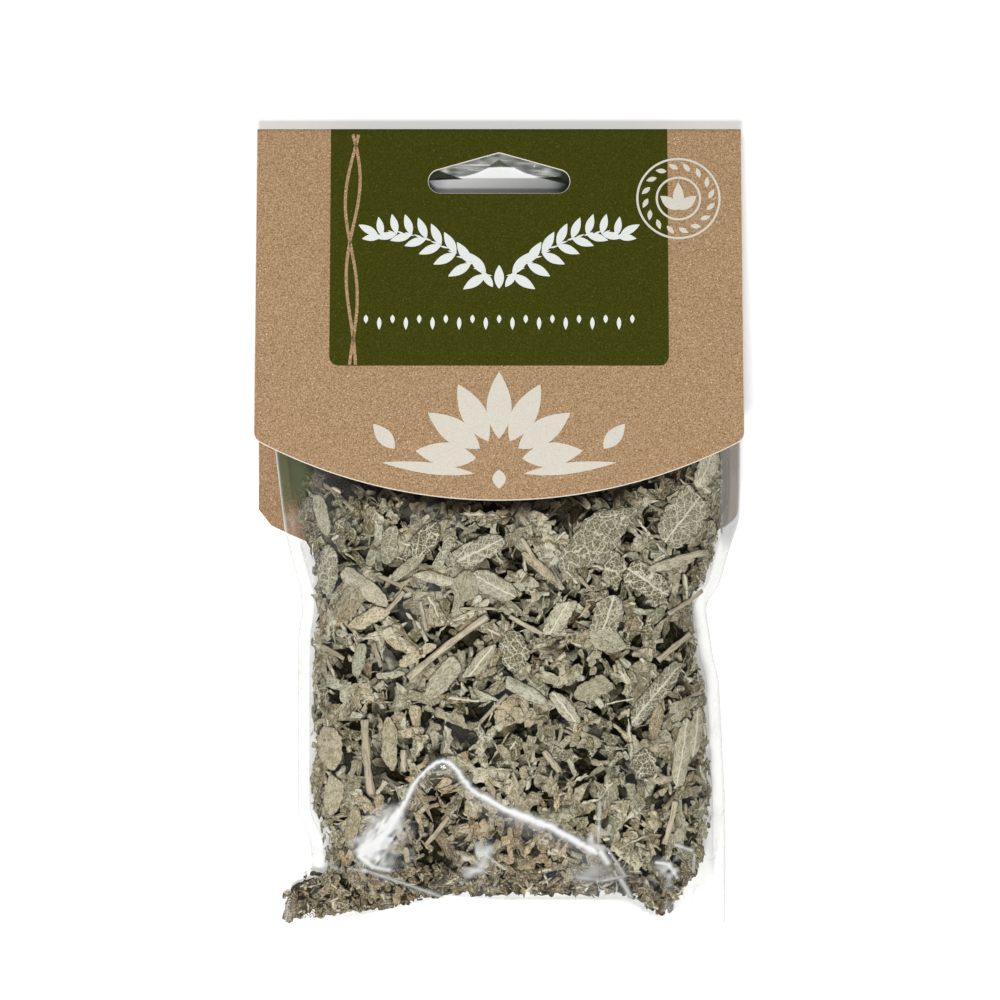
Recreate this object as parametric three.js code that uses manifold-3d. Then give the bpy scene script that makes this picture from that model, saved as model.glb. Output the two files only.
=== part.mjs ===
// Hang-card packet of cut dried sage, lying on its back: a kraft card folded over the neck of
// a side-welded clear film bag that is filled with leaf scraps, whole leaves and stems.
// Millimetres. +Z up, +Y towards the card's fold, origin on the table under the middle of the packet.
import * as THREE from "three";
import { mergeVertices } from "three/addons/utils/BufferGeometryUtils.js";
import Module from "manifold-3d";

const wasm = await Module();
wasm.setup();

// Driving dimensions
const CARD_WIDTH = 110;
const CARD_THICKNESS = 0.5;
const PACKET_LENGTH = 181.5;
const FOLD_Y = PACKET_LENGTH / 2; // outermost line of the card's fold
const FOLD_RADIUS = 1.1; // of the card's middle layer
const FOLD_HEIGHT = 8; // centre of the fold above the table
const FRONT_SLOPE = THREE.MathUtils.degToRad(12.6); // the filled bag lifts the front panel by this
const FRONT_EDGE_Y = 6.3; // lowest point of the front panel's curved edge
const BACK_EDGE_Y = -11.7; // the same on the back panel, which is longer
const EDGE_RADIUS = 117; // of both curved edges
const FRONT_CORNER = 1.6;
const BACK_CORNER = 5.5;
const BACK_LIFT_Y = 10; // the back panel lies flat below this and rises to the fold above it

const SLOT_SPAN = 26.6; // between the centres of the hang slot's round ends
const SLOT_END_RADIUS = 2.7;
const SLOT_TOP_RADIUS = 1.6;
const SLOT_RISE = 4.9; // the slot's peak circle above its end circles
const SLOT_Y = 78.6; // centres of the end circles on the front panel
const SLOT_SHIFT = -2.2; // the fold isn't quite midway, so the back slot lies lower

const FILM_WALL = 0.4;
const CLEARANCE = 0.3;
const FIN_WIDTH = 2.6; // welded side seam outside the bulge
const MOUTH_Y = 87.2; // the bag's open end, pinched flat inside the fold
const BOTTOM_Y = -85.4; // the bag's bottom edge between its two ears
const EAR_BLEND_Y = -70; // the bottom edge's ears are drawn out below this
const PILE_TOP_Y = 44; // the herb reaches this far up under the card
const CORE_DEPTH = 2.4; // the pile's closed core lies this far under the scraps' highest points
const SCRAP_THICKNESS = 0.9;
const THINNEST_PILE = 4; // no scraps where the film's two faces come closer than this
const RANDOM_SEED = 20260;

// Materials
const kraft = new THREE.MeshStandardMaterial({ color: 0xb1906d, roughness: 0.9, metalness: 0 });
const film = new THREE.MeshStandardMaterial({
  color: 0xf2f4f2, roughness: 0.12, metalness: 0, transparent: true, opacity: 0.25,
});
const glue = new THREE.MeshStandardMaterial({ color: 0xe9e4d2, roughness: 0.5, metalness: 0 });
const scraps = new THREE.MeshStandardMaterial({ color: 0x817c66, roughness: 0.95, metalness: 0 });
const leafFace = new THREE.MeshStandardMaterial({ color: 0x9a9880, roughness: 0.95, metalness: 0 });
const stalk = new THREE.MeshStandardMaterial({ color: 0x9c8b6c, roughness: 0.9, metalness: 0 });

const packet = new THREE.Group();

// ---------- helpers ----------

function solidOf(geometry) {
  const bare = new THREE.BufferGeometry().setAttribute("position", geometry.getAttribute("position"));
  if (geometry.index) bare.setIndex(geometry.index);
  const merged = mergeVertices(bare, 1e-4);
  const mesh = new wasm.Mesh({
    numProp: 3,
    vertProperties: merged.attributes.position.array,
    triVerts: new Uint32Array(merged.index.array),
  });
  return new wasm.Manifold(mesh);
}

function geometryOf(solid) {
  const mesh = solid.getMesh();
  return new THREE.BufferGeometry()
    .setAttribute("position", new THREE.BufferAttribute(mesh.vertProperties, 3))
    .setIndex(new THREE.BufferAttribute(mesh.triVerts, 1));
}

function addPart(name, solid, material) {
  const mesh = new THREE.Mesh(geometryOf(solid), material);
  mesh.name = name;
  packet.add(mesh);
}

// The largest body of a solid, without the scraps that a cut leaves loose.
function largestBody(solid) {
  return solid.decompose().reduce((best, body) => (body.volume() > best.volume() ? body : best));
}

// A closed prism over a flat shape, from z = low to z = high.
function prism(shape, low, high) {
  const geometry = new THREE.ExtrudeGeometry(shape, {
    depth: high - low, bevelEnabled: false, curveSegments: 10,
  });
  return solidOf(geometry.translate(0, 0, low));
}

// A closed body between two grids of points, low and high, each indexed [row][column].
function bodyBetween(low, high) {
  const rows = low.length;
  const columns = low[0].length;
  const positions = [...low.flat(), ...high.flat()].flatMap((p) => [p.x, p.y, p.z]);
  const at = (layer, row, column) => (layer * rows + row) * columns + column;
  const indices = [];
  const quad = (a, b, c, d) => indices.push(a, b, c, a, c, d);
  for (let r = 0; r + 1 < rows; r++) {
    for (let c = 0; c + 1 < columns; c++) {
      quad(at(0, r, c), at(0, r + 1, c), at(0, r + 1, c + 1), at(0, r, c + 1));
      quad(at(1, r, c), at(1, r, c + 1), at(1, r + 1, c + 1), at(1, r + 1, c));
    }
    quad(at(0, r, 0), at(1, r, 0), at(1, r + 1, 0), at(0, r + 1, 0));
    const last = columns - 1;
    quad(at(0, r, last), at(0, r + 1, last), at(1, r + 1, last), at(1, r, last));
  }
  for (let c = 0; c + 1 < columns; c++) {
    quad(at(0, 0, c), at(0, 0, c + 1), at(1, 0, c + 1), at(1, 0, c));
    const last = rows - 1;
    quad(at(0, last, c), at(1, last, c), at(1, last, c + 1), at(0, last, c + 1));
  }
  const geometry = new THREE.BufferGeometry()
    .setAttribute("position", new THREE.Float32BufferAttribute(positions, 3))
    .setIndex(indices);
  return solidOf(geometry);
}

// Straight-line interpolation in a list of [key, value] pairs with rising keys.
function along(pairs, key) {
  if (key <= pairs[0][0]) return pairs[0][1];
  for (let i = 1; i < pairs.length; i++) {
    const [k0, v0] = pairs[i - 1];
    const [k1, v1] = pairs[i];
    if (key <= k1) return v0 + ((v1 - v0) * (key - k0)) / (k1 - k0);
  }
  return pairs[pairs.length - 1][1];
}

const clamp01 = (value) => Math.min(1, Math.max(0, value));

// Seeded random numbers from 0 to 1 (a 32-bit mulberry generator).
function randomFrom(seed) {
  let state = seed;
  return () => {
    state = (state + 0x6d2b79f5) | 0;
    let t = Math.imul(state ^ (state >>> 15), 1 | state);
    t = (t + Math.imul(t ^ (t >>> 7), 61 | t)) ^ t;
    return ((t ^ (t >>> 14)) >>> 0) / 4294967296;
  };
}

// ---------- header card ----------

const foldCentreY = FOLD_Y - FOLD_RADIUS - CARD_THICKNESS / 2;
const backRise = FOLD_HEIGHT - FOLD_RADIUS - CARD_THICKNESS / 2;
const BACK_CURVE = 1.5; // power of the back panel's rise
const backSlope = Math.atan((BACK_CURVE * backRise) / (foldCentreY - BACK_LIFT_Y));

// Height of the back panel's middle layer.
function backPanelZ(y) {
  const share = Math.max(0, (y - BACK_LIFT_Y) / (foldCentreY - BACK_LIFT_Y));
  return CARD_THICKNESS / 2 + backRise * share ** BACK_CURVE;
}

// Height of the front panel's middle layer.
function frontPanelZ(y) {
  const start = FOLD_HEIGHT + FOLD_RADIUS * Math.cos(FRONT_SLOPE);
  return start + Math.tan(FRONT_SLOPE) * (foldCentreY + FOLD_RADIUS * Math.sin(FRONT_SLOPE) - y);
}

// The card's path in the YZ plane, from the back panel's end round the fold to the front panel's end.
function cardPath() {
  const path = [new THREE.Vector2(-30, backPanelZ(-30))];
  const backSteps = 8;
  for (let i = 0; i < backSteps; i++) {
    const y = THREE.MathUtils.lerp(BACK_LIFT_Y, foldCentreY, i / backSteps);
    path.push(new THREE.Vector2(y, backPanelZ(y)));
  }
  const from = backSlope - Math.PI / 2;
  const to = Math.PI / 2 - FRONT_SLOPE;
  const foldSteps = 8;
  for (let i = 0; i <= foldSteps; i++) {
    const angle = THREE.MathUtils.lerp(from, to, i / foldSteps);
    path.push(new THREE.Vector2(
      foldCentreY + FOLD_RADIUS * Math.cos(angle),
      FOLD_HEIGHT + FOLD_RADIUS * Math.sin(angle),
    ));
  }
  path.push(new THREE.Vector2(-10, frontPanelZ(-10)));
  return path;
}

// The path's two faces, half the card's thickness to either side.
function offsetPath(path, distance) {
  return path.map((point, i) => {
    const before = path[Math.max(0, i - 1)];
    const after = path[Math.min(path.length - 1, i + 1)];
    const normal = after.clone().sub(before).normalize().rotateAround(new THREE.Vector2(), Math.PI / 2);
    return point.clone().addScaledVector(normal, distance);
  });
}

function cardStrip() {
  const path = cardPath();
  const outline = [
    ...offsetPath(path, -CARD_THICKNESS / 2),
    ...offsetPath(path, CARD_THICKNESS / 2).reverse(),
  ];
  const geometry = new THREE.ExtrudeGeometry(new THREE.Shape(outline), {
    depth: CARD_WIDTH, bevelEnabled: false,
  });
  // The section is drawn in (y, z), so its axes are cycled to stand along X.
  const cycle = new THREE.Matrix4().makeBasis(
    new THREE.Vector3(0, 1, 0), new THREE.Vector3(0, 0, 1), new THREE.Vector3(1, 0, 0),
  );
  return solidOf(geometry.applyMatrix4(cycle).translate(-CARD_WIDTH / 2, 0, 0));
}

// A panel seen from above: straight sides, rounded corners and a curved lower edge.
function panelShape(edgeY, cornerRadius) {
  const half = CARD_WIDTH / 2;
  const centreY = edgeY + EDGE_RADIUS;
  const arcX = half - cornerRadius;
  const arcY = centreY - Math.sqrt(EDGE_RADIUS ** 2 - arcX ** 2);
  const cornerY = centreY - Math.sqrt(EDGE_RADIUS ** 2 - half ** 2);
  const reach = Math.atan2(arcY - centreY, arcX);
  const shape = new THREE.Shape();
  shape.moveTo(-half, FOLD_Y + 5);
  shape.lineTo(-half, cornerY + cornerRadius);
  shape.quadraticCurveTo(-half, cornerY, -arcX, arcY);
  shape.absarc(0, centreY, EDGE_RADIUS, -Math.PI - reach, reach, false);
  shape.quadraticCurveTo(half, cornerY, half, cornerY + cornerRadius);
  shape.lineTo(half, FOLD_Y + 5);
  return shape;
}

// The hang slot seen from above: the outline round three circles, two ends and a peak.
function slotShape(shift, grow = 0) {
  const circles = [
    { x: -SLOT_SPAN / 2, y: SLOT_Y + shift, r: SLOT_END_RADIUS + grow },
    { x: SLOT_SPAN / 2, y: SLOT_Y + shift, r: SLOT_END_RADIUS + grow },
    { x: 0, y: SLOT_Y + shift + SLOT_RISE, r: SLOT_TOP_RADIUS + grow },
  ];
  const directions = 32;
  const points = [];
  for (let i = 0; i < directions; i++) {
    const angle = (2 * Math.PI * i) / directions;
    const [dx, dy] = [Math.cos(angle), Math.sin(angle)];
    const reach = (c) => c.x * dx + c.y * dy + c.r;
    const furthest = circles.reduce((best, c) => (reach(c) > reach(best) ? c : best));
    points.push(new THREE.Vector2(furthest.x + furthest.r * dx, furthest.y + furthest.r * dy));
  }
  return new THREE.Shape(points);
}

function headerCard() {
  const between = 14; // a height that separates the two panels' lower parts
  const ceiling = 40;
  const surround = new THREE.Shape([
    new THREE.Vector2(-60, -40), new THREE.Vector2(60, -40),
    new THREE.Vector2(60, 60), new THREE.Vector2(-60, 60),
  ]);
  const frontWaste = prism(surround, between, ceiling)
    .subtract(prism(panelShape(FRONT_EDGE_Y, FRONT_CORNER), between - 1, ceiling + 1));
  const backWaste = prism(surround, -5, between)
    .subtract(prism(panelShape(BACK_EDGE_Y, BACK_CORNER), -6, between + 1));
  return cardStrip()
    .subtract(frontWaste)
    .subtract(backWaste)
    .subtract(prism(slotShape(0), FOLD_HEIGHT + 0.5, ceiling))
    .subtract(prism(slotShape(SLOT_SHIFT), -5, FOLD_HEIGHT + 0.5));
}

// ---------- film bag ----------

// The bag's outline seen from above: [y, x] down each side and [x, y] along the bottom edge.
const LEFT_SIDE = [
  [-90.75, -49.9], [-82, -49], [-77.9, -42.4], [-70.5, -43.1], [-64.7, -45.8], [-25, -45.8],
  [-18.6, -44.7], [-13.7, -45.2], [-1.3, -48.3], [19, -50.6], [MOUTH_Y, -50.8],
];
const RIGHT_SIDE = [
  [-90.6, 51.8], [-77, 51.6], [-61.2, 51.3], [-34.3, 49.9], [-29.5, 48.6], [-17.5, 46.8],
  [-12.5, 50.2], [-5.3, 52.1], [1.5, 54], [MOUTH_Y, 54.2],
];
const BOTTOM_EDGE = [
  [-49.9, -90.75], [-40.7, -90.6], [-22.7, -87], [-12.4, -84.4], [0, -85.4], [29, -85.4],
  [37, -90], [51.8, -90.6],
];
// The crease where the front turns down into the bottom, as [x, y]: a peak left of the middle.
const BOTTOM_CREASE = [
  [-46, -74], [-31.6, -73.9], [-26, -62.7], [-19.1, -57], [-13.4, -52.8], [-11.6, -53],
  [-6.6, -60.4], [0.2, -64.2], [13.8, -67.8], [22.9, -72.8], [36, -79], [48, -74],
];
// Height of the welded side seam and of the film's front above it, both by y.
const SEAM_HEIGHT = [
  [-90.75, 1.4], [-82, 2.4], [-76, 6], [-60, 8.6], [-20, 9], [20, 9.4], [45, 9.6], [60, 9.4],
  [75, 8.7], [MOUTH_Y, 8.1],
];
const FRONT_RISE = [
  [-85.4, 14.5], [-52, 16.4], [-10, 16.2], [6, 15.6], [18, 14.2], [30, 12.2], [45, 9],
  [60, 6], [75, 3.4], [MOUTH_Y, 0.8],
];
// Room for glue between the film and each panel, by y.
const GLUE_GAP = [[52, 0], [60, 0.9], [72, 0.9], [MOUTH_Y, 0.5]];

const seamZ = (y) => along(SEAM_HEIGHT, y);
const bagCentreX = (y) => (along(LEFT_SIDE, y) + along(RIGHT_SIDE, y)) / 2;
const bagHalfWidth = (y) => (along(RIGHT_SIDE, y) - along(LEFT_SIDE, y)) / 2;
// A face that lies deeper in the bag is narrower too, so that the side walls keep their thickness.
const bulgeHalfWidth = (y, depth) => bagHalfWidth(y) - FIN_WIDTH - 1.5 * depth;

// The bulge across the bag: 1 over most of the width, falling steeply to 0 at the seams.
function acrossBulge(x, y, depth) {
  const share = Math.min(1, Math.abs(x - bagCentreX(y)) / bulgeHalfWidth(y, depth));
  return (1 - share ** 3.2) ** 0.55;
}

// The front's fall to the bottom edge, from 1 at the crease, and thinner again in the two ears.
function frontFall(x, y) {
  const edge = along(BOTTOM_EDGE, x);
  const fall = clamp01((y - edge) / (along(BOTTOM_CREASE, x) - edge)) ** 0.8;
  const leftEar = clamp01((-34 - x) / 8);
  const rightEar = clamp01((x - 33) / 8);
  const ear = Math.max(leftEar, rightEar) * clamp01((-72 - y) / 8);
  return fall * (1 - 0.62 * ear);
}

// What the bag's back lies on: the table, then the card's back panel.
function underBag(y) {
  const onCard = clamp01((y - BACK_EDGE_Y + 2.4) / 2);
  return onCard * (backPanelZ(y) + CARD_THICKNESS / 2 + CLEARANCE + along(GLUE_GAP, y));
}

// The room that the card's front panel leaves over the bag.
function overBag(y) {
  return frontPanelZ(y) - CARD_THICKNESS / 2 - CLEARANCE - along(GLUE_GAP, y);
}

// Height of a face at some depth under the film's outside: 0 is the outside itself.
function frontZ(x, y, depth) {
  const bulge = along(FRONT_RISE, y) * acrossBulge(x, y, depth) * frontFall(x, y);
  return Math.min(overBag(y) - depth, seamZ(y) + Math.max(0.02, FILM_WALL - depth + bulge));
}

function backZ(x, y, depth) {
  const fall = clamp01((y - along(BOTTOM_EDGE, x)) / 7) ** 0.6;
  const hollow = (seamZ(y) - underBag(y) + 1.5) * acrossBulge(x, y, depth) * fall;
  const belowSeam = seamZ(y) - Math.max(0.02, FILM_WALL - depth + hollow);
  return Math.max(underBag(y) + depth, belowSeam);
}

const BAG_ROWS = [
  BOTTOM_Y, -84.4, -83, -80.6, -77.5, -74, -70, -66.5, -63, -59.5, -56, -52.5, -47, -39, -30, -22, -14.2,
  -12, -3, 7, 18, 28, 38, 48, 60, 72, 80, MOUTH_Y,
];
const BAG_COLUMNS = 16;

// A closed body of the bag's form at some depth inside the film, with or without its side fins.
// Bodies with the same rows and columns nest, as only their outermost columns differ in x.
function bagBody(depth, rowYs, columns, withFins) {
  const low = [];
  const high = [];
  for (const rowY of rowYs) {
    const xs = [];
    for (let i = 0; i <= columns; i++) {
      const share = Math.sin(Math.PI * (i / columns - 0.5));
      const narrowing = (bulgeHalfWidth(rowY, 0) - bulgeHalfWidth(rowY, depth)) * share ** 8;
      xs.push(bagCentreX(rowY) + share * (bulgeHalfWidth(rowY, 0) - narrowing));
    }
    if (withFins) {
      xs.unshift(along(LEFT_SIDE, rowY));
      xs.push(along(RIGHT_SIDE, rowY));
    }
    const ear = clamp01((EAR_BLEND_Y - rowY) / (EAR_BLEND_Y - BOTTOM_Y));
    const place = (x, height) => {
      const y = rowY + (along(BOTTOM_EDGE, x) - BOTTOM_Y) * ear;
      return new THREE.Vector3(x, y, height(x, y, depth));
    };
    low.push(xs.map((x) => place(x, backZ)));
    high.push(xs.map((x) => place(x, frontZ)));
  }
  return bodyBetween(low, high);
}

function filmBag() {
  const outside = bagBody(0, BAG_ROWS, BAG_COLUMNS, true);
  const inside = bagBody(FILM_WALL, [...BAG_ROWS.slice(1, -1), MOUTH_Y + 2], BAG_COLUMNS, false);
  return outside
    .subtract(inside)
    .subtract(prism(slotShape(SLOT_SHIFT, CLEARANCE), -5, 40));
}

// ---------- contents ----------

const contentDepth = FILM_WALL + CLEARANCE;

// Everything the herb may fill.
function contentSpace() {
  const rows = BAG_ROWS.filter((y) => y > BOTTOM_Y && y < PILE_TOP_Y);
  return bagBody(contentDepth, [...rows, PILE_TOP_Y], BAG_COLUMNS, false);
}

// A leaf scrap lying on one face of the pile: a five-cornered blade, folded along its rib by a
// drop at its long edges, leaning by lean, and pressed under the film where it would stand proud.
function scrapBlade(x, y, height, size, random) {
  const outward = height === frontZ ? 1 : -1;
  const length = size * (0.75 + 0.65 * random());
  const width = length * (0.25 + 0.45 * random());
  const drop = 0.3 + random();
  const turn = 2 * Math.PI * random();
  const lean = 0.5 * (random() - 0.5);
  const sink = 0.6 + 1.2 * random();
  const outline = [
    [0, -length / 2, 0], [width / 2, length * 0.05, drop], [0, length / 2, 0],
    [-width / 2, length * 0.24, drop], [-width / 2, -length * 0.26, drop],
  ];
  const outer = outline.map(([u, v, fall]) => {
    const px = x + u * Math.cos(turn) - v * Math.sin(turn);
    const py = y + u * Math.sin(turn) + v * Math.cos(turn);
    const depth = Math.max(0.15, sink + fall - lean * v);
    return new THREE.Vector3(px, py, height(px, py, contentDepth) - outward * depth);
  });
  const inner = outer.map((p) => new THREE.Vector3(p.x, p.y, p.z - outward * SCRAP_THICKNESS));
  const [low, high] = outward > 0 ? [inner, outer] : [outer, inner];
  const positions = [...high, ...low].flatMap((p) => [p.x, p.y, p.z]);
  const indices = [0, 1, 2, 0, 2, 3, 0, 3, 4, 5, 7, 6, 5, 8, 7, 5, 9, 8];
  for (let i = 0; i < 5; i++) {
    const next = (i + 1) % 5;
    indices.push(i, i + 5, next + 5, i, next + 5, next);
  }
  return solidOf(new THREE.BufferGeometry()
    .setAttribute("position", new THREE.Float32BufferAttribute(positions, 3))
    .setIndex(indices));
}

// Scraps on a jittered grid over one face of the pile, each with its root in the core.
function scrapsOver(height, spacing, size, random) {
  const blades = [];
  const features = [...LEAVES, ...STEMS];
  for (let y = -81; y < PILE_TOP_Y - 3; y += spacing) {
    const half = bulgeHalfWidth(y, contentDepth) - 1;
    const across = Math.round((2 * half) / spacing);
    for (let i = 0; i < across; i++) {
      const spotX = bagCentreX(y) + half * ((2 * (i + 0.25 + 0.5 * random())) / across - 1);
      const spotY = y + spacing * 0.7 * (random() - 0.5);
      const room = frontZ(spotX, spotY, contentDepth) - backZ(spotX, spotY, contentDepth);
      if (room < THINNEST_PILE) continue;
      if (height === frontZ && features.some((piece) => covers(piece, spotX, spotY))) continue;
      blades.push(scrapBlade(spotX, spotY, height, size, random));
    }
  }
  return blades;
}

// The main pile: a core that the scraps stand out of, in one body.
function sagePile(space, keepOut) {
  const random = randomFrom(RANDOM_SEED);
  const coreRows = [-80.5, -76, -68, -58, -50, -30, -12, 8, 24, PILE_TOP_Y - 4];
  const core = bagBody(contentDepth + CORE_DEPTH, coreRows, 8, false);
  const blades = [
    ...scrapsOver(frontZ, 8.4, 11.5, random),
    ...scrapsOver(backZ, 13.5, 16, random),
  ];
  const pile = wasm.Manifold.union([core, ...blades]).intersect(space);
  return largestBody(pile.subtract(wasm.Manifold.union(keepOut)).simplify(0.1));
}

// The larger leaves that lie against the film: [x, y, length, width, turn in degrees].
const LEAVES = [
  [21.4, -2.4, 19, 8.4, -43], [41.4, 2.2, 13, 9, -38], [47, 13.6, 9.6, 4.4, -24],
  [-30.2, -13.3, 12.6, 4.2, 53], [-16.4, -2.4, 8.8, 5, -43], [-4.2, -4.7, 11.4, 5.2, -63],
  [-1.4, -12.7, 11, 4.8, 62], [3.3, -27.2, 8.6, 6.4, 20], [33.4, -12, 11, 6, 56],
  [24.3, -25.2, 8.4, 5, 76], [35.2, -37.3, 16.4, 5.2, -41], [-38.2, -49.6, 9.6, 6, 4],
];
// The larger stems, as [x, y, length, diameter, turn in degrees].
const STEMS = [
  [-11.5, -26.7, 22.6, 1.6, -52], [-29.5, -51.5, 17, 1.9, 5], [-21.5, -52.1, 4.8, 1.4, 0],
  [-14, -68.3, 8.4, 1.1, -38], [39.6, -26.8, 9.6, 1.3, -53], [42.4, -6.7, 10.4, 1.5, -76],
  [11.8, -52.2, 5.8, 1.5, 38],
];

// Whether a leaf or stem hides a spot of the pile.
function covers([x, y, length, width, degrees], spotX, spotY) {
  const spot = new THREE.Vector2(spotX - x, spotY - y)
    .rotateAround(new THREE.Vector2(), THREE.MathUtils.degToRad(-degrees));
  return (2 * spot.x / (width + 1)) ** 2 + (2 * spot.y / length) ** 2 < 1;
}

// A leaf that lies against the film: an oval plate that follows the film's inside, with its
// middle nearest the film and its long edges dropped. Grown by grow all round for its keep-out.
function leafSolid([x, y, length, width, degrees], grow) {
  const turn = THREE.MathUtils.degToRad(degrees);
  const lengthSteps = 6;
  const widthSteps = 2;
  const thickness = 0.9 + 2 * grow;
  const low = [];
  const high = [];
  for (let i = 0; i <= lengthSteps; i++) {
    const t = (2 * i) / lengthSteps - 1;
    const half = Math.max(0.7, (width / 2) * Math.sqrt(1 - Math.abs(t) ** 2.4)) + grow;
    const lowRow = [];
    const highRow = [];
    for (let j = 0; j <= widthSteps; j++) {
      const s = (2 * j) / widthSteps - 1;
      const [across, lengthwise] = [half * s, (length / 2 + grow) * t];
      const px = x + across * Math.cos(turn) - lengthwise * Math.sin(turn);
      const py = y + across * Math.sin(turn) + lengthwise * Math.cos(turn);
      const top = frontZ(px, py, contentDepth + 0.2) - 0.6 * s * s - 0.3 * t * t + grow;
      highRow.push(new THREE.Vector3(px, py, top));
      lowRow.push(new THREE.Vector3(px, py, top - thickness));
    }
    low.push(lowRow);
    high.push(highRow);
  }
  return bodyBetween(low, high);
}

// A stem that lies against the film: a six-sided rod whose axis follows the film's inside.
function stemSolid([x, y, length, diameter, degrees], grow) {
  const turn = THREE.MathUtils.degToRad(degrees);
  const steps = 4;
  const radius = diameter / 2 + grow;
  const stations = [];
  for (let i = 0; i <= steps; i++) {
    const lengthwise = (length / 2 + grow) * ((2 * i) / steps - 1);
    const px = x - lengthwise * Math.sin(turn);
    const py = y + lengthwise * Math.cos(turn);
    stations.push(new THREE.Vector3(px, py, frontZ(px, py, contentDepth + 0.35) - diameter / 2));
  }
  const section = new THREE.Shape();
  section.absarc(0, 0, radius, 0, 2 * Math.PI, false);
  const geometry = new THREE.ExtrudeGeometry(section, {
    steps, curveSegments: 3, bevelEnabled: false,
    extrudePath: new THREE.CatmullRomCurve3(stations),
  });
  return solidOf(geometry);
}

// ---------- glue strips ----------

// A strip of glue across the neck, between two heights by y.
function glueStrip(lowZ, highZ) {
  const halfLength = 36;
  const grid = (height) => [62, 70].map((y) => (
    [-halfLength, halfLength].map((x) => new THREE.Vector3(x, y, height(y)))
  ));
  return bodyBetween(grid(lowZ), grid(highZ));
}

// ---------- the packet ----------

const space = contentSpace();
const leafSolids = LEAVES.map((leaf) => leafSolid(leaf, 0).intersect(space));
const stemSolids = STEMS.map((stem) => stemSolid(stem, 0).intersect(space));
const keepOut = [
  ...LEAVES.map((leaf) => leafSolid(leaf, CLEARANCE)),
  ...STEMS.map((stem) => stemSolid(stem, CLEARANCE)),
];

addPart("header_card", headerCard(), kraft);
addPart("film_bag", filmBag(), film);
addPart("glue_strip_front", glueStrip(
  (y) => overBag(y) + CLEARANCE,
  (y) => frontPanelZ(y) - CARD_THICKNESS / 2 - CLEARANCE,
), glue);
addPart("glue_strip_back", glueStrip(
  (y) => backPanelZ(y) + CARD_THICKNESS / 2 + CLEARANCE,
  (y) => underBag(y) - CLEARANCE,
), glue);
addPart("sage_pile", sagePile(space, keepOut), scraps);
leafSolids.forEach((solid, i) => addPart(`sage_leaf_${i + 1}`, solid, leafFace));
stemSolids.forEach((solid, i) => addPart(`sage_stem_${i + 1}`, solid, stalk));

export default packet;
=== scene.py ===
import math

import bpy
import numpy as np
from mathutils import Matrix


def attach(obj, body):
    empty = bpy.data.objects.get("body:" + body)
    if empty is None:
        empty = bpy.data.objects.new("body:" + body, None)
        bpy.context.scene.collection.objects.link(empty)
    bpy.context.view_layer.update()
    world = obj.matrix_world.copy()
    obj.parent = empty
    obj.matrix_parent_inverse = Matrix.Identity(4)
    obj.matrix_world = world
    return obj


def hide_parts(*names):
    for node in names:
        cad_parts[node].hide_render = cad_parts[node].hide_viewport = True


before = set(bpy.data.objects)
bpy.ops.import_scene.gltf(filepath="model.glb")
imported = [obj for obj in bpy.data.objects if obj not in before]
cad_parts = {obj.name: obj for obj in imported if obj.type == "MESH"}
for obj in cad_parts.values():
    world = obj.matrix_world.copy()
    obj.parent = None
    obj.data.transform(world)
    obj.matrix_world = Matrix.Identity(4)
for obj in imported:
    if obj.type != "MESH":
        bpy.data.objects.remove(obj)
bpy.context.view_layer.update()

MM = 0.001  # the script works in millimetres, Blender in metres
rng = np.random.default_rng(4107)

# ---------- the packet's dimensions in millimetres ----------

# They are the CAD model's, but for the film's sides, which run a little further out under the card.

CARD_WIDTH = 110.0
CARD_THICKNESS = 0.5
FOLD_Y = 90.75
FOLD_RADIUS = 1.1
FOLD_HEIGHT = 8.0
FRONT_SLOPE = math.radians(12.6)
FRONT_EDGE_Y = 6.3
BACK_EDGE_Y = -11.7
EDGE_RADIUS = 117.0
FRONT_CORNER = 1.6
BACK_CORNER = 5.5
BACK_LIFT_Y = 10.0
BACK_CURVE = 1.5
SLOT_SPAN = 26.6
SLOT_END_RADIUS = 2.7
SLOT_TOP_RADIUS = 1.6
SLOT_RISE = 4.9
SLOT_Y = 78.6
SLOT_SHIFT = -2.2
FIN_WIDTH = 2.6
MOUTH_Y = 87.2
BOTTOM_Y = -85.4

# The film's outline from above: (y, x) along its sides, (x, y) along its bottom edge.
LEFT_SIDE = [
    (-90.75, -49.9), (-82, -49), (-77.9, -42.4), (-70.5, -43.1), (-64.7, -45.8), (-25, -45.8),
    (-18.6, -44.7), (-13.7, -45.2), (-1.3, -48.6), (19, -51), (MOUTH_Y, -51.1),
]
RIGHT_SIDE = [
    (-90.6, 51.8), (-77, 51.6), (-61.2, 51.3), (-34.3, 49.9), (-29.5, 48.6), (-17.5, 46.8),
    (-12.5, 50.2), (-5.3, 52.1), (1.5, 54.5), (10, 54.8), (MOUTH_Y, 54.8),
]
BOTTOM_EDGE = [
    (-49.9, -90.75), (-40.7, -90.6), (-22.7, -87), (-12.4, -84.4), (0, -85.4), (29, -85.4),
    (37, -90), (51.8, -90.6),
]
# The arched crease where the front folds down to the bottom edge: x, y and the half width of
# the bright line on it, where there is one.
CREASE = [
    (-46, -75, 0), (-36, -75.6, 0), (-31.2, -73.6, 0.8), (-27.6, -70.8, 0.95), (-24, -66.7, 1.0),
    (-21.4, -62.1, 0.7), (-18.9, -57, 0.42), (-16, -53.9, 0.3), (-13.9, -52.4, 0.3), (-12.2, -52, 0.34),
    (-10.8, -52.7, 0.42), (-9.4, -54.2, 0.5), (-8.1, -56.2, 0.55), (-5.8, -58.9, 0.55), (1.7, -63.2, 0.7),
    (7, -65.2, 0.8), (11.5, -67, 0.7), (17.4, -70.2, 0.65), (21.8, -72.9, 0.5), (30, -77, 0),
    (36, -79, 0), (48, -74, 0),
]
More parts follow.
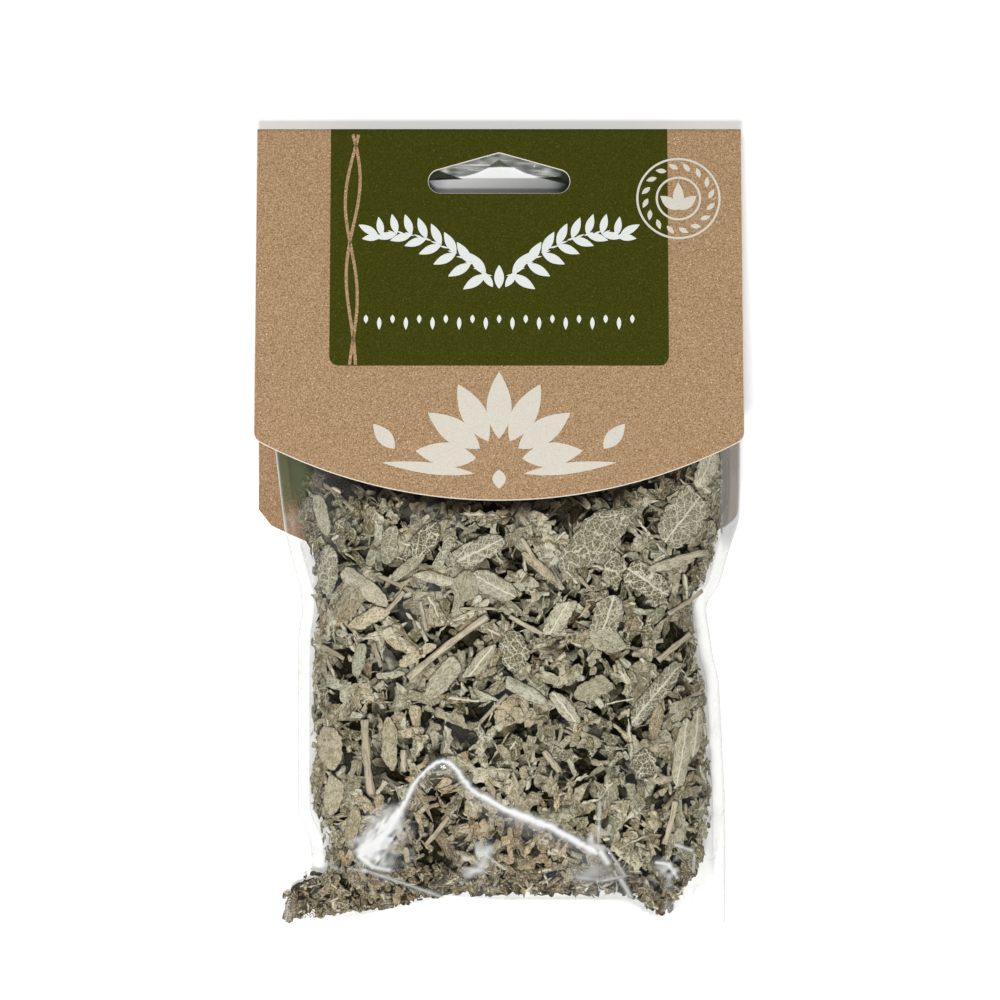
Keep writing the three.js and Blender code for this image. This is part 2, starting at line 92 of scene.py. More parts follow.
# By y: the height of the side seams, the front's rise over them, and the thickness of the glue.
SEAM_HEIGHT = [
    (-90.75, 1.4), (-82, 2.4), (-76, 6), (-60, 8.6), (-20, 9), (20, 9.4), (45, 9.6), (60, 9.4),
    (75, 8.7), (MOUTH_Y, 8.1),
]
FRONT_RISE = [
    (-85.4, 14.5), (-52, 16.4), (-10, 16.2), (6, 15.6), (18, 14.2), (30, 12.2), (45, 9),
    (60, 6), (75, 3.4), (MOUTH_Y, 0.8),
]
GLUE_GAP = [(52, 0), (60, 0.9), (72, 0.9), (MOUTH_Y, 0.5)]
CLEARANCE = 0.3  # between the card and the film
FILM_WALL = 0.4

FOLD_CENTRE_Y = FOLD_Y - FOLD_RADIUS - CARD_THICKNESS / 2
BACK_RISE = FOLD_HEIGHT - FOLD_RADIUS - CARD_THICKNESS / 2


def along(pairs, key):
    """Straight-line interpolation in (key, value) pairs, smoothed a little at the corners."""
    keys, values = np.array(pairs, float).T
    soft = 1.2
    key = np.asarray(key, float)
    return sum(np.interp(key + d * soft, keys, values) for d in (-1.0, -0.5, 0.0, 0.5, 1.0)) / 5


def smooth_step(low, high, x):
    """0 at low, 1 at high, and an S curve between them."""
    t = np.clip((x - low) / (high - low), 0, 1)
    return t * t * (3 - 2 * t)


def back_panel_z(y):
    """Middle layer of the back panel: flat on the table, then rising as share ** 1.5."""
    share = np.maximum(0, (y - BACK_LIFT_Y) / (FOLD_CENTRE_Y - BACK_LIFT_Y))
    return CARD_THICKNESS / 2 + BACK_RISE * share**BACK_CURVE


FRONT_START_Y = FOLD_CENTRE_Y + FOLD_RADIUS * math.sin(FRONT_SLOPE)
FRONT_START_Z = FOLD_HEIGHT + FOLD_RADIUS * math.cos(FRONT_SLOPE)


def front_panel_z(y):
    """Middle layer of the front panel: a straight slope up from the fold."""
    return FRONT_START_Z + math.tan(FRONT_SLOPE) * (FRONT_START_Y - y)


def bag_centre(y):
    """x half way between the film's two sides."""
    return (along(LEFT_SIDE, y) + along(RIGHT_SIDE, y)) / 2


def bag_half(y):
    """Half the film's width."""
    return (along(RIGHT_SIDE, y) - along(LEFT_SIDE, y)) / 2


def across_bulge(x, y, depth):
    """1 over most of the bag's width, falling steeply to 0 at the seams."""
    half = bag_half(y) - FIN_WIDTH - 1.5 * depth
    share = np.minimum(1, np.abs(x - bag_centre(y)) / half)
    return (1 - share**3.2) ** 0.55


def crease_y(x):
    """The arched crease over the folded bottom, rounded at its corners."""
    keys, values, _ = np.array(CREASE, float).T
    return sum(np.interp(x + d, keys, values) for d in np.linspace(-1.2, 1.2, 5)) / 5


def bottom_y(x):
    """The film's bottom edge, lower in the two ears."""
    return along(BOTTOM_EDGE, x)


def front_fall(x, y):
    """From 1 at the arched crease down to 0 at the bottom edge, and thinner in the two ears."""
    edge = bottom_y(x)
    share = np.maximum((y - edge) / (crease_y(x) - edge), 1e-4)
    fall = share**0.8 / (1 + share**30) ** (0.8 / 30)
    ear = np.maximum(np.clip((-34 - x) / 8, 0, 1), np.clip((x - 33) / 8, 0, 1))
    return fall * (1 - 0.62 * ear * np.clip((-72 - y) / 8, 0, 1))


def under_bag(y):
    """How high the bag's back lies: on the table, then on the back panel and its glue."""
    on_card = np.clip((y - BACK_EDGE_Y + 2.4) / 2, 0, 1)
    return on_card * (back_panel_z(y) + CARD_THICKNESS / 2 + CLEARANCE + along(GLUE_GAP, y))


def over_bag(y):
    """How high the bag's front may reach under the front panel and its glue."""
    return front_panel_z(y) - CARD_THICKNESS / 2 - CLEARANCE - along(GLUE_GAP, y)


def front_z(x, y, depth):
    """Height of the bag's front at some depth under the film's outside."""
    bulge = along(FRONT_RISE, y) * across_bulge(x, y, depth) * front_fall(x, y)
    seam = along(SEAM_HEIGHT, y)
    return np.minimum(over_bag(y) - depth, seam + np.maximum(0.02, FILM_WALL - depth + bulge))


def back_z(x, y, depth):
    """Height of the bag's back at some depth inside the film's outside."""
    fall = np.clip((y - bottom_y(x)) / 7, 0, 1) ** 0.6
    seam = along(SEAM_HEIGHT, y)
    hollow = (seam - under_bag(y) + 1.5) * across_bulge(x, y, depth) * fall
    return np.maximum(under_bag(y) + depth, seam - np.maximum(0.02, FILM_WALL - depth + hollow))


# ---------- mesh helpers ----------


def make_mesh(name, points, quads, material, attributes=None, smooth=True, sharp=None):
    """One object from points in millimetres, quads, and per-point attributes by name. An edge
    between two points that sharp marks is shaded as a sharp one."""
    quads = np.asarray(quads, np.int32)
    used, packed = np.unique(quads, return_inverse=True)
    quads = packed.reshape(quads.shape).astype(np.int32)
    points = np.asarray(points, float)[used]
    mesh = bpy.data.meshes.new(name)
    mesh.vertices.add(len(points))
    mesh.vertices.foreach_set("co", (points * MM).ravel())
    mesh.loops.add(quads.size)
    mesh.loops.foreach_set("vertex_index", quads.ravel())
    mesh.polygons.add(len(quads))
    mesh.polygons.foreach_set("loop_start", np.arange(0, quads.size, quads.shape[1], dtype=np.int32))
    mesh.polygons.foreach_set("use_smooth", np.full(len(quads), smooth))
    mesh.update(calc_edges=True)
    for key, values in (attributes or {}).items():
        values = np.asarray(values, float)[used]
        kind = "FLOAT" if values.ndim == 1 else "FLOAT_VECTOR"
        layer = mesh.attributes.new(key, kind, "POINT")
        layer.data.foreach_set("value" if kind == "FLOAT" else "vector", values.ravel())
    if sharp is not None:
        ends = np.empty(len(mesh.edges) * 2, np.int32)
        mesh.edges.foreach_get("vertices", ends)
        layer = mesh.attributes.new("sharp_edge", "BOOLEAN", "EDGE")
        layer.data.foreach_set("value", sharp[used][ends.reshape(-1, 2)].all(1))
    mesh.materials.append(material)
    obj = bpy.data.objects.new(name, mesh)
    bpy.context.scene.collection.objects.link(obj)
    return obj


def grid_quads(rows, columns, count=1, wrap=False):
    """Quads of count grids of rows by columns points, stored one after another."""
    r, c = np.meshgrid(np.arange(rows - 1), np.arange(columns if wrap else columns - 1), indexing="ij")
    a = (r * columns + c).ravel()
    b = (r * columns + (c + 1) % columns).ravel()
    one = np.stack([a, b, b + columns, a + columns], 1)
    return (one[None] + (np.arange(count) * rows * columns)[:, None, None]).reshape(-1, 4)


def grid_piece(name, grid, material, attributes=None, wrap=False, smooth=True):
    """One surface from an array of points of shape (rows, columns, 3)."""
    rows, columns = grid.shape[:2]
    flat = {k: np.reshape(v, (rows * columns, -1)).squeeze() for k, v in (attributes or {}).items()}
    return make_mesh(name, grid.reshape(-1, 3), grid_quads(rows, columns, 1, wrap), material, flat, smooth)


# ---------- shader helper ----------


class Socket:
    """A socket in a material's node tree, with arithmetic that adds Math nodes."""

    def __init__(self, tree, socket):
        self.tree, self.socket = tree, socket

    def node(self, kind, inputs=(), output=0, **settings):
        """Adds a node of any kind and returns one of its outputs."""
        made = self.tree.nodes.new(kind)
        for key, value in settings.items():
            setattr(made, key, value)
        pairs = inputs.items() if isinstance(inputs, dict) else enumerate(inputs)
        for key, value in pairs:
            if value is None:
                continue
            if isinstance(value, Socket):
                self.tree.links.new(value.socket, made.inputs[key])
            else:
                made.inputs[key].default_value = value
        return Socket(self.tree, made.outputs[output])

    def math(self, operation, *others):
        """A Math node with this socket first."""
        return self.node("ShaderNodeMath", (self, *others), operation=operation)

    def __add__(self, other):
        return self.math("ADD", other)

    def __sub__(self, other):
        return self.math("SUBTRACT", other)

    def __rsub__(self, other):
        return self.node("ShaderNodeMath", (other, self), operation="SUBTRACT")

    def __mul__(self, other):
        return self.math("MULTIPLY", other)

    __radd__, __rmul__ = __add__, __mul__

    def ramp(self, low, high, to_low=0.0, to_high=1.0):
        """A smooth step from low to high."""
        return self.node(
            "ShaderNodeMapRange",
            {"Value": self, "From Min": low, "From Max": high, "To Min": to_low, "To Max": to_high},
            interpolation_type="SMOOTHSTEP",
        )

    def mix(self, colour_a, colour_b):
        """A colour between two others, with this socket as the share of the second."""
        return self.node(
            "ShaderNodeMix", {0: self, 6: colour_a, 7: colour_b}, output=2, data_type="RGBA",
        )

    def times(self, scale):
        """This vector times a scale, a number for each axis."""
        return self.node("ShaderNodeVectorMath", (self, scale), operation="MULTIPLY")

    def plus(self, other):
        """This vector plus another."""
        return self.node("ShaderNodeVectorMath", (self, other), operation="ADD")

    def noise(self, scale, detail=2.0, roughness=0.5, output=0):
        """Cloudy noise at this place: output 0 is a number, 1 a colour."""
        return self.node(
            "ShaderNodeTexNoise",
            {"Vector": self, "Scale": scale, "Detail": detail, "Roughness": roughness}, output=output,
        )

    def cells(self, scale, feature="F1"):
        """Distance to the nearest of scattered points, or to the border between their cells."""
        return self.node("ShaderNodeTexVoronoi", {"Vector": self, "Scale": scale}, feature=feature)


def linear(colour):
    """A colour given as 0 to 255 display values, as linear values."""
    c = np.array(colour) / 255
    values = np.where(c <= 0.04045, c / 12.92, ((c + 0.055) / 1.055) ** 2.4)
    return (*[float(v) for v in values], 1.0)


def start_material(name, build):
    """A material whose surface is what build returns from a first helper socket."""
    material = bpy.data.materials.new(name)
    material.use_nodes = True
    tree = material.node_tree
    tree.nodes.clear()
    output = tree.nodes.new("ShaderNodeOutputMaterial")
    start = Socket(tree, None)
    shader = build(start)
    tree.links.new(shader.socket, output.inputs["Surface"])
    return material


def attribute(start, name, output=2):
    """A mesh attribute by name: output 2 is a number, 1 a vector."""
    return start.node("ShaderNodeAttribute", output=output, attribute_name=name)


def millimetres(start):
    """The object's own coordinates in millimetres."""
    place = start.node("ShaderNodeTexCoord", output=3)
    return place.times((1000.0, 1000.0, 1000.0))


def surface(start, colour, roughness, bump=None, bump_strength=0.3, bump_distance=0.1, **constants):
    """A Principled surface with an optional bump given as a height in millimetres."""
    normal = None
    if bump is not None:
        normal = start.node(
            "ShaderNodeBump",
            {"Strength": bump_strength, "Distance": bump_distance * MM, "Height": bump},
        )
    names = {key.replace("_", " ").title().replace("Ior", "IOR"): v for key, v in constants.items()}
    return start.node(
        "ShaderNodeBsdfPrincipled",
        {"Base Color": colour, "Roughness": roughness, "Normal": normal, **names},
    )


# ---------- materials ----------


def card_material(name, base, speckle=1.0, pale=(214, 180, 144), dark=(132, 100, 64)):
    """Kraft board or ink on it: fine grain, short pale and dark fibres."""

    def build(s):
        place = millimetres(s)
        grain = place.noise(2.9, 2.0, 0.6)
        fine = place.noise(6.0, 1.0, 0.5)
        blotch = place.noise(0.35, 3.0, 0.6)
        fleck = place.cells(1.05)
        fibre = place.times((1.2, 3.4, 1.0)).noise(1.5, 2.0, 0.6)
        colour = (grain.ramp(0.5, 0.66) * 0.9 * speckle).mix(linear(base), linear(pale))
        colour = (grain.ramp(0.5, 0.34) * 0.9 * speckle).mix(colour, linear(dark))
        colour = (fine.ramp(0.5, 0.7) * 0.6 * speckle).mix(colour, linear(pale))
        colour = (fine.ramp(0.5, 0.3) * 0.6 * speckle).mix(colour, linear(dark))
        colour = (fibre.ramp(0.62, 0.72) * 0.5 * speckle).mix(colour, linear(pale))
        bright = tuple(min(255, v + 34) for v in pale)
        colour = (fleck.ramp(0.2, 0.1) * blotch.ramp(0.45, 0.6) * speckle).mix(colour, linear(bright))
        colour = (blotch.ramp(0.35, 0.7) * 0.08).mix(colour, linear(dark))
        return surface(s, colour, 0.88, grain + fine * 0.5, 0.35, 0.06, specular_ior_level=0.25)

    return start_material(name, build)


kraft = card_material("kraft board", (178, 146, 110))
kraft_inside = card_material("kraft board inside", (166, 136, 104), 0.9)
# the cut edges' near white is partly the board's pale core and partly a painted highlight
cut_edge = card_material("cut card edge", (246, 240, 228), 0.2, (250, 248, 240), (226, 214, 190))
green_ink = card_material("dark olive ink", (64, 66, 9), 0.5, (92, 94, 34), (44, 46, 2))
white_ink = card_material("white ink", (240, 243, 240), 0.2, (250, 250, 248), (214, 214, 206))
cream_ink = card_material("cream ink", (227, 221, 208), 0.35, (240, 236, 224), (202, 192, 172))


def leaf_material(name, stem=False):
    """Dry sage: tone by piece, a net of pale veins, a felted surface, pale edges that are partly a painted
    highlight, and painted shade on pieces that lie deep.
    """

    def build(s):
        spot = attribute(s, "spot", 1)
        tone, hue = attribute(s, "tone"), attribute(s, "hue")
        net, rim, painted_shade = attribute(s, "net"), attribute(s, "rim"), attribute(s, "painted_shade")
        # the colour of the painted shade on pieces that lie deep or in hollows
        shade = linear((34, 28, 5))
        if stem:
            fibre = spot.times((2.6, 0.3, 2.6)).noise(1.0, 3.0, 0.7)
            fine = spot.noise(4.0, 2.0)
            colour = tone.mix(linear((150, 134, 104)), linear((222, 211, 184)))
            colour = fibre.ramp(0.45, 0.62, 0.0, 0.6).mix(colour, linear((112, 96, 70)))
            colour = fine.ramp(0.5, 0.7, 0.0, 0.4).mix(colour, linear((228, 220, 200)))
            colour = (rim * 0.8).mix(colour, linear((222, 210, 184)))
            # painted shade where the stalk lies deep or in a hollow
            colour = (painted_shade * 0.8).mix(colour, shade)
            return surface(s, colour, 0.8, fibre + fine * 0.3, 0.9, 0.3, specular_ior_level=0.2)
        blade = attribute(s, "blade", 1)
        bent = blade.plus(spot.noise(0.45, 2.0, 0.5, output=1).times((0.9, 0.9, 0.0)))
        axes = [bent.node("ShaderNodeSeparateXYZ", (bent,), output=i) for i in range(3)]
        side, lengthwise = (axes[0] - 0.45).math("ABSOLUTE"), axes[1]
        has_rib = blade.node("ShaderNodeSeparateXYZ", (blade,), output=2)
        midrib = side.ramp(0.10, 0.34, 1.0, 0.0)
        repeat = ((lengthwise - side * 1.1) * 0.4).math("FRACT")
        side_vein = (repeat - 0.5).math("ABSOLUTE").ramp(0.03, 0.08, 1.0, 0.0) * side.ramp(4.2, 3.0)
        bend = spot.plus(spot.noise(0.9, 1.0, 0.5, output=1).times((0.6, 0.6, 0.6)))
        wide = bend.cells(0.42, "DISTANCE_TO_EDGE").ramp(0.02, 0.055, 1.0, 0.0)
        close = bend.cells(1.3, "DISTANCE_TO_EDGE")
        net_lines = close.ramp(0.02, 0.1, 1.0, 0.0)
        felt = spot.times((1.4, 0.6, 1.0)).noise(2.0, 4.0, 0.75)
        grit = spot.noise(4.2, 2.0, 0.6)
        patch = spot.noise(0.5, 3.0, 0.6)
        ribs = midrib.math("MAXIMUM", side_vein * 0.85) * has_rib
        veins = (wide.math("MAXIMUM", net_lines * 0.85) * net).math("MAXIMUM", ribs)
        low = hue.mix(linear((112, 76, 44)), linear((113, 108, 61)))
        high = hue.mix(linear((238, 206, 156)), linear((255, 253, 228)))
        colour = tone.mix(low, high)
        colour = patch.ramp(0.42, 0.62, 0.0, 0.45).mix(colour, linear((126, 114, 60)))
        smooth = 1.0 - net * 0.6
        colour = (felt.ramp(0.5, 0.62, 0.0, 0.6) * smooth).mix(colour, linear((250, 247, 226)))
        colour = (felt.ramp(0.49, 0.36, 0.0, 0.65) * smooth).mix(colour, linear((80, 71, 34)))
        colour = (grit.ramp(0.52, 0.66, 0.0, 0.4) * smooth).mix(colour, linear((240, 236, 216)))
        colour = (grit.ramp(0.47, 0.32, 0.0, 0.55) * smooth).mix(colour, linear((70, 60, 26)))
        colour = (net * close.ramp(0.06, 0.2, 0.5, 0.85)).mix(colour, linear((116, 110, 78)))
        colour = (veins * 0.95).mix(colour, linear((255, 250, 226)))
        # pale edges: partly the pale torn felt, partly a painted highlight on the crest
        colour = rim.ramp(0.5, 1.0, 0.0, 0.6).mix(colour, linear((236, 232, 212)))
        # painted shade where the piece lies deep or in a hollow
        colour = (painted_shade * 0.9).mix(colour, shade)
        height = veins * 1.0 - net * close.ramp(0.1, 0.4) + felt * 2.0 + grit * 0.6
        return surface(s, colour, 0.9, height, 1.0, 0.22, specular_ior_level=0.15)

    return start_material(name, build)


leaf = leaf_material("dry sage leaf")
stalk = leaf_material("dry sage stalk", stem=True)


def bed_build(s):
    """The pile's inside in painted shade: dark crumbs between dark brown and olive."""
    place = millimetres(s)
    grain = place.noise(1.6, 3.0, 0.6)
    colour = grain.ramp(0.35, 0.65).mix(linear((18, 15, 4)), linear((56, 48, 22)))
    return surface(s, colour, 0.95, grain, 0.8, 0.8, specular_ior_level=0.1)


bed = start_material("pile inside in painted shade", bed_build)


def film_build(s):
    """Clear film: mostly see-through, glossy at grazing angles, milky where its milk value says. The milk is
    partly real and partly painted light (highlights, glare, soft reflections), and painted shade where the
    shade value darkens it.
    """
    haze_and_painted_light = attribute(s, "haze_and_painted_light")
    place = millimetres(s)
    ripple = place.noise(0.3, 2.0, 0.5)
    normal = s.node("ShaderNodeBump", {"Strength": 0.12, "Distance": 0.5 * MM, "Height": ripple})
    clear = s.node("ShaderNodeBsdfTransparent", {"Color": (0.985, 0.985, 0.98, 1.0)})
    gloss = s.node(
        "ShaderNodeBsdfGlossy", {"Color": (1.0, 1.0, 1.0, 1.0), "Roughness": 0.07, "Normal": normal},
    )
    shade = attribute(s, "shade").mix((0.93, 0.94, 0.93, 1.0), (0.015, 0.02, 0.01, 1.0))
    olive_tint = attribute(s, "olive_tint")
    olive_milk = olive_tint.mix(shade, linear((98, 104, 78)))
    milk = s.node("ShaderNodeBsdfDiffuse", {"Color": olive_milk})
    fresnel = s.node("ShaderNodeFresnel", {"IOR": 1.3, "Normal": normal})
    body = haze_and_painted_light.node("ShaderNodeMixShader", (haze_and_painted_light, clear, milk))
    shine = fresnel.math("MINIMUM", 0.28) * (1.0 - olive_tint * 0.85)
    return s.node("ShaderNodeMixShader", (shine, body, gloss))


film = start_material("clear film", film_build)


def glue_build(s):
    """Yellowish glue with a soft shine and faint clouds."""
    grain = millimetres(s).noise(0.8, 2.0)
    colour = grain.mix(linear((226, 218, 196)), linear((206, 196, 170)))
    return surface(s, colour, 0.5, grain, 0.3, 0.2)


glue = start_material("dried glue", glue_build)

# ---------- header card ----------


def slot_outline(y_shift, grow=0.0, count=160):
    """The hang slot: the outline round two end circles and a peak circle, as points in x and y."""
    angles = np.linspace(0, 2 * np.pi, count, endpoint=False)
    directions = np.stack([np.cos(angles), np.sin(angles)], 1)
    centres = np.array([
        (-SLOT_SPAN / 2, SLOT_Y + y_shift), (SLOT_SPAN / 2, SLOT_Y + y_shift),
        (0, SLOT_Y + y_shift + SLOT_RISE),
    ])
    radii = np.array([SLOT_END_RADIUS, SLOT_END_RADIUS, SLOT_TOP_RADIUS]) + grow
    best = np.argmax(directions @ centres.T + radii, 1)
    return centres[best] + radii[best, None] * directions


def panel_outline(edge_y, corner, top_y, cut=None):
    """A panel from above: straight sides, rounded corners and a curved lower edge. A cut of
    (width, height) takes the left corner off straight."""
    half = CARD_WIDTH / 2
    centre_y = edge_y + EDGE_RADIUS
    arc_x = half - corner
    arc_y = centre_y - math.sqrt(EDGE_RADIUS**2 - arc_x**2)
    corner_y = centre_y - math.sqrt(EDGE_RADIUS**2 - half**2)
    t = np.linspace(0, 1, 9)[1:-1, None]
    ends = np.array([(half, corner_y + corner), (half, corner_y), (arc_x, arc_y)])
    bend = (1 - t) ** 2 * ends[0] + 2 * t * (1 - t) * ends[1] + t**2 * ends[2]
    x = np.linspace(arc_x, -arc_x, 60)
    arc = np.stack([x, centre_y - np.sqrt(EDGE_RADIUS**2 - x**2)], 1)
    right = np.array([(half, top_y), (half, corner_y + corner)])
    left = right[::-1] * (-1, 1)
    if cut:
        arc = arc[arc[:, 0] > cut[0] - half]
        end = (cut[0] - half, centre_y - math.sqrt(EDGE_RADIUS**2 - (half - cut[0]) ** 2))
        return np.concatenate([right, bend, arc, [end, (-half, end[1] + cut[1]), (-half, top_y)]])
    return np.concatenate([right, bend, arc, (bend * (-1, 1))[::-1], left])


def inset(line, distance):
    """A panel's outline moved inwards; its two upper ends move only sideways."""
    step = np.gradient(line, axis=0)
    step[0], step[-1] = (0, -1), (0, 1)
    normal = np.stack([step[:, 1], -step[:, 0]], 1) / np.linalg.norm(step, axis=1)[:, None]
    return line + normal * distance


def cross(p, q):
    """How far vector q in x and y turns from vector p: the height of their cross product."""
    return p[..., 0] * q[..., 1] - p[..., 1] * q[..., 0]


def ray_to_outline(centre, angles, outline):
    """Where rays from centre first meet a closed outline that surrounds it."""
    a = outline - centre
    b = np.roll(outline, -1, 0) - centre
    d = np.stack([np.cos(angles), np.sin(angles)], 1)
    edge = b - a
    below = cross(d[:, None], edge[None])
    below = np.where(np.abs(below) < 1e-12, 1e-12, below)
    reach = cross(a[None], edge[None]) / below
    where = cross(a[None], d[:, None]) / below
    good = (reach > 0) & (where >= -1e-9) & (where <= 1 + 1e-9)
    distance = np.where(good, reach, np.inf).min(1)
    return centre + d * distance[:, None]


def ring_plan(outline, y_shift, steps, grow=0.0):
    """Rings of points in x and y from the hang slot out to an outline: (steps, directions, 2)."""
    centre = np.array([0.0, SLOT_Y + y_shift + 1.0])
    slot_line = slot_outline(y_shift, grow)
    directions = np.concatenate([
        np.linspace(-np.pi, np.pi, 181)[:-1],
        *[np.arctan2(*(line - centre).T[::-1]) for line in (outline, slot_line[::4])],
    ])
    directions = np.unique(np.round(directions, 6))
    inner = ray_to_outline(centre, directions, slot_line)
    outer = ray_to_outline(centre, directions, outline)
    share = np.linspace(0, 1, steps)[:, None, None]
    return inner + (outer - inner) * share


def on_front(plan, lift):
    """Points in x and y raised to the front panel, lift above its middle layer."""
    y = plan[..., 1] + lift * math.sin(FRONT_SLOPE)
    z = front_panel_z(plan[..., 1]) + lift * math.cos(FRONT_SLOPE)
    return np.stack([plan[..., 0], y, z], -1)


def on_back(plan, lift):
    """Points in x and y on the back panel, lift outwards (downwards) from its middle layer."""
    return np.stack([plan[..., 0], plan[..., 1], back_panel_z(plan[..., 1]) - lift], -1)


BACK_SLOPE = math.atan(BACK_CURVE * BACK_RISE / (FOLD_CENTRE_Y - BACK_LIFT_Y))


def fold_grid(half_width, lift, columns=2):
    """The rounded fold, from the front panel's start to the back panel's."""
    angles = np.linspace(math.pi / 2 - FRONT_SLOPE, BACK_SLOPE - math.pi / 2, 25)[:, None]
    x = np.linspace(-half_width, half_width, columns)[None]
    reach = FOLD_RADIUS + lift
    y = FOLD_CENTRE_Y + reach * np.cos(angles) + 0 * x
    z = FOLD_HEIGHT + reach * np.sin(angles) + 0 * x
    return np.stack([x + 0 * angles, y, z], -1)


HALF_T = CARD_THICKNESS / 2
FACE = HALF_T - 0.03  # the board's faces, which the ink lies on
BEVEL = 0.13  # how far the faces stop short of the pale cut edge, whose near white is partly a painted highlight
front_outline = panel_outline(FRONT_EDGE_Y, FRONT_CORNER, FRONT_START_Y)
back_outline = panel_outline(BACK_EDGE_Y, BACK_CORNER - 2, FOLD_CENTRE_Y, (2.8, 3.6))
front_plan = ring_plan(inset(front_outline, BEVEL), 0.0, 14, BEVEL)
back_plan = ring_plan(inset(back_outline, BEVEL), SLOT_SHIFT, 40, BEVEL)
inner_front_plan = ring_plan(front_outline, 0.0, 14)
inner_back_plan = ring_plan(back_outline, SLOT_SHIFT, 40)


def cut_edge_piece(name, face_line, outer_line, place):
    """A cut edge: a pale slanted rim down from the face, then straight down to the inner face."""
    lines = [place(face_line, FACE), place(outer_line, FACE - BEVEL), place(outer_line, -HALF_T)]
    return grid_piece(name, np.stack(lines), cut_edge, smooth=False)


def closed(line):
    """A line whose first point is repeated at its end."""
    return np.concatenate([line, line[:1]])


def belongs(piece, slot, *nodes):
    """Sets the piece's body and hides the CAD nodes that it stands in for. The slot is not used."""
    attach(piece, "root")
    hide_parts(*nodes)


card_pieces = [
    grid_piece("front_panel_outer_face", on_front(front_plan, FACE), kraft, wrap=True),
    grid_piece("front_panel_inner_face", on_front(inner_front_plan, -HALF_T), kraft_inside, wrap=True),
    grid_piece("back_panel_outer_face", on_back(back_plan, FACE), kraft, wrap=True),
    grid_piece("back_panel_inner_face", on_back(inner_back_plan, -HALF_T), kraft_inside, wrap=True),
    grid_piece("fold_outer_face", fold_grid(CARD_WIDTH / 2 - BEVEL, FACE), kraft),
    grid_piece("fold_inner_face", fold_grid(CARD_WIDTH / 2, -HALF_T), kraft_inside),
    cut_edge_piece("front_panel_cut_edge", inset(front_outline, BEVEL), front_outline, on_front),
    cut_edge_piece("back_panel_cut_edge", inset(back_outline, BEVEL), back_outline, on_back),
]
for label, shift, place in (("front", 0.0, on_front), ("back", SLOT_SHIFT, on_back)):
    card_pieces.append(cut_edge_piece(
        f"{label}_slot_cut_edge", closed(slot_outline(shift, BEVEL)), closed(slot_outline(shift)), place,
    ))
for label, column in (("left", 0), ("right", -1)):
    rows = [
        fold_grid(CARD_WIDTH / 2 - inwards, lift)[:, column]
        for inwards, lift in ((BEVEL, FACE), (0, FACE - BEVEL), (0, -HALF_T))
    ]
    card_pieces.append(grid_piece(f"fold_{label}_cut_edge", np.stack(rows), cut_edge, smooth=False))

# ---------- print on the card ----------

INK = HALF_T - 0.01
INK_STEP = 0.004  # between printed leaves that cross each other
PRINT_HALF = 38.2
PRINT_LENGTH = 54.4  # down the front from the fold
BACK_PRINT_Y = 66.0
along_front = math.cos(FRONT_SLOPE)


def rounded_rectangle(half_width, low_y, top_y, radius):
    """Straight sides up to top_y and two rounded lower corners."""
    t = np.linspace(0, np.pi / 2, 9)
    corner = np.stack([radius * (1 - np.cos(t)), radius * (1 - np.sin(t))], 1)
    left = np.array([-half_width, low_y]) + corner
    right = (np.array([half_width, low_y]) + corner * (-1, 1))[::-1]
    return np.concatenate([[(half_width, top_y), (-half_width, top_y)], left, right])


print_low_y = FRONT_START_Y - PRINT_LENGTH * along_front
front_print = rounded_rectangle(PRINT_HALF, print_low_y, FRONT_START_Y, 2.2)
back_print = rounded_rectangle(PRINT_HALF, BACK_PRINT_Y, FOLD_CENTRE_Y, 2.2)
card_pieces += [
    grid_piece(
        "print_panel_front", on_front(ring_plan(front_print, 0.0, 10, BEVEL), INK), green_ink,
        wrap=True,
    ),
    grid_piece("print_panel_fold", fold_grid(PRINT_HALF, INK), green_ink),
    grid_piece(
        "print_panel_back", on_back(ring_plan(back_print, SLOT_SHIFT, 20, BEVEL), INK), green_ink,
        wrap=True,
    ),
]


def leaf_outline(length, width, steps=15):
    """Places along a pointed oval leaf and its half width there, for t from 0 to 1:
    width / 2 * sin(pi t) ** 0.85 * (1.15 - 0.3 t)."""
    t = np.linspace(0, 1, steps)
    half = width / 2 * np.sin(np.pi * t) ** 0.85 * (1.15 - 0.3 * t)
    return t * length, half


def printed_leaves(name, leaves, material, lift):
    """Flat leaves on the front panel, each (x, v, length, width, turn in degrees), in one piece.
    v is the distance from the fold; a turn of 0 points away from the fold."""
    grids = []
    for x, v, length, width, turn in leaves:
        t, half = leaf_outline(length, width)
        a = math.radians(turn)
        rows = []
        lift += INK_STEP
        for side in (-1, 0, 1):
            u = side * half
            px = x + u * math.cos(a) + t * math.sin(a)
            pv = v - u * math.sin(a) + t * math.cos(a)
            rows.append(on_front(np.stack([px, FRONT_START_Y - pv * along_front], -1), lift))
        grids.append(np.stack(rows))
    points = np.array(grids)
    return make_mesh(name, points.reshape(-1, 3), grid_quads(3, points.shape[2], len(leaves)), material)


def garland():
    """Two mirrored sprays that rise from the middle: leaf pairs along a shallow arc."""
    leaves = []
    for side in (-1, 1):
        for i in range(8):
            share = i / 7
            x = side * (3.0 + 23.5 * share)
            v = 33.2 - 9.5 * math.sin(share * 1.9)
            lean = side * (100 + 26 * share)
            size = 6.2 - 1.6 * share
            leaves.append((x, v, size, size * 0.36, lean + 44))
            leaves.append((x, v, size, size * 0.36, lean - 44))
        leaves.append((side * 27.4, 23.9, 5.0, 1.8, side * 118))
        for i in range(14):
            share = i / 13
            x = side * (1.6 + 25.4 * share)
            v = 33.5 - 9.6 * math.sin(share * 1.9)
            leaves.append((x, v, 2.3, 0.42, side * (96 + 24 * share)))
    leaves += [(0, 36.6, 5.6, 2.2, 180), (-1.4, 36.2, 4.6, 1.7, 214), (1.4, 36.2, 4.6, 1.7, 146)]
    return leaves


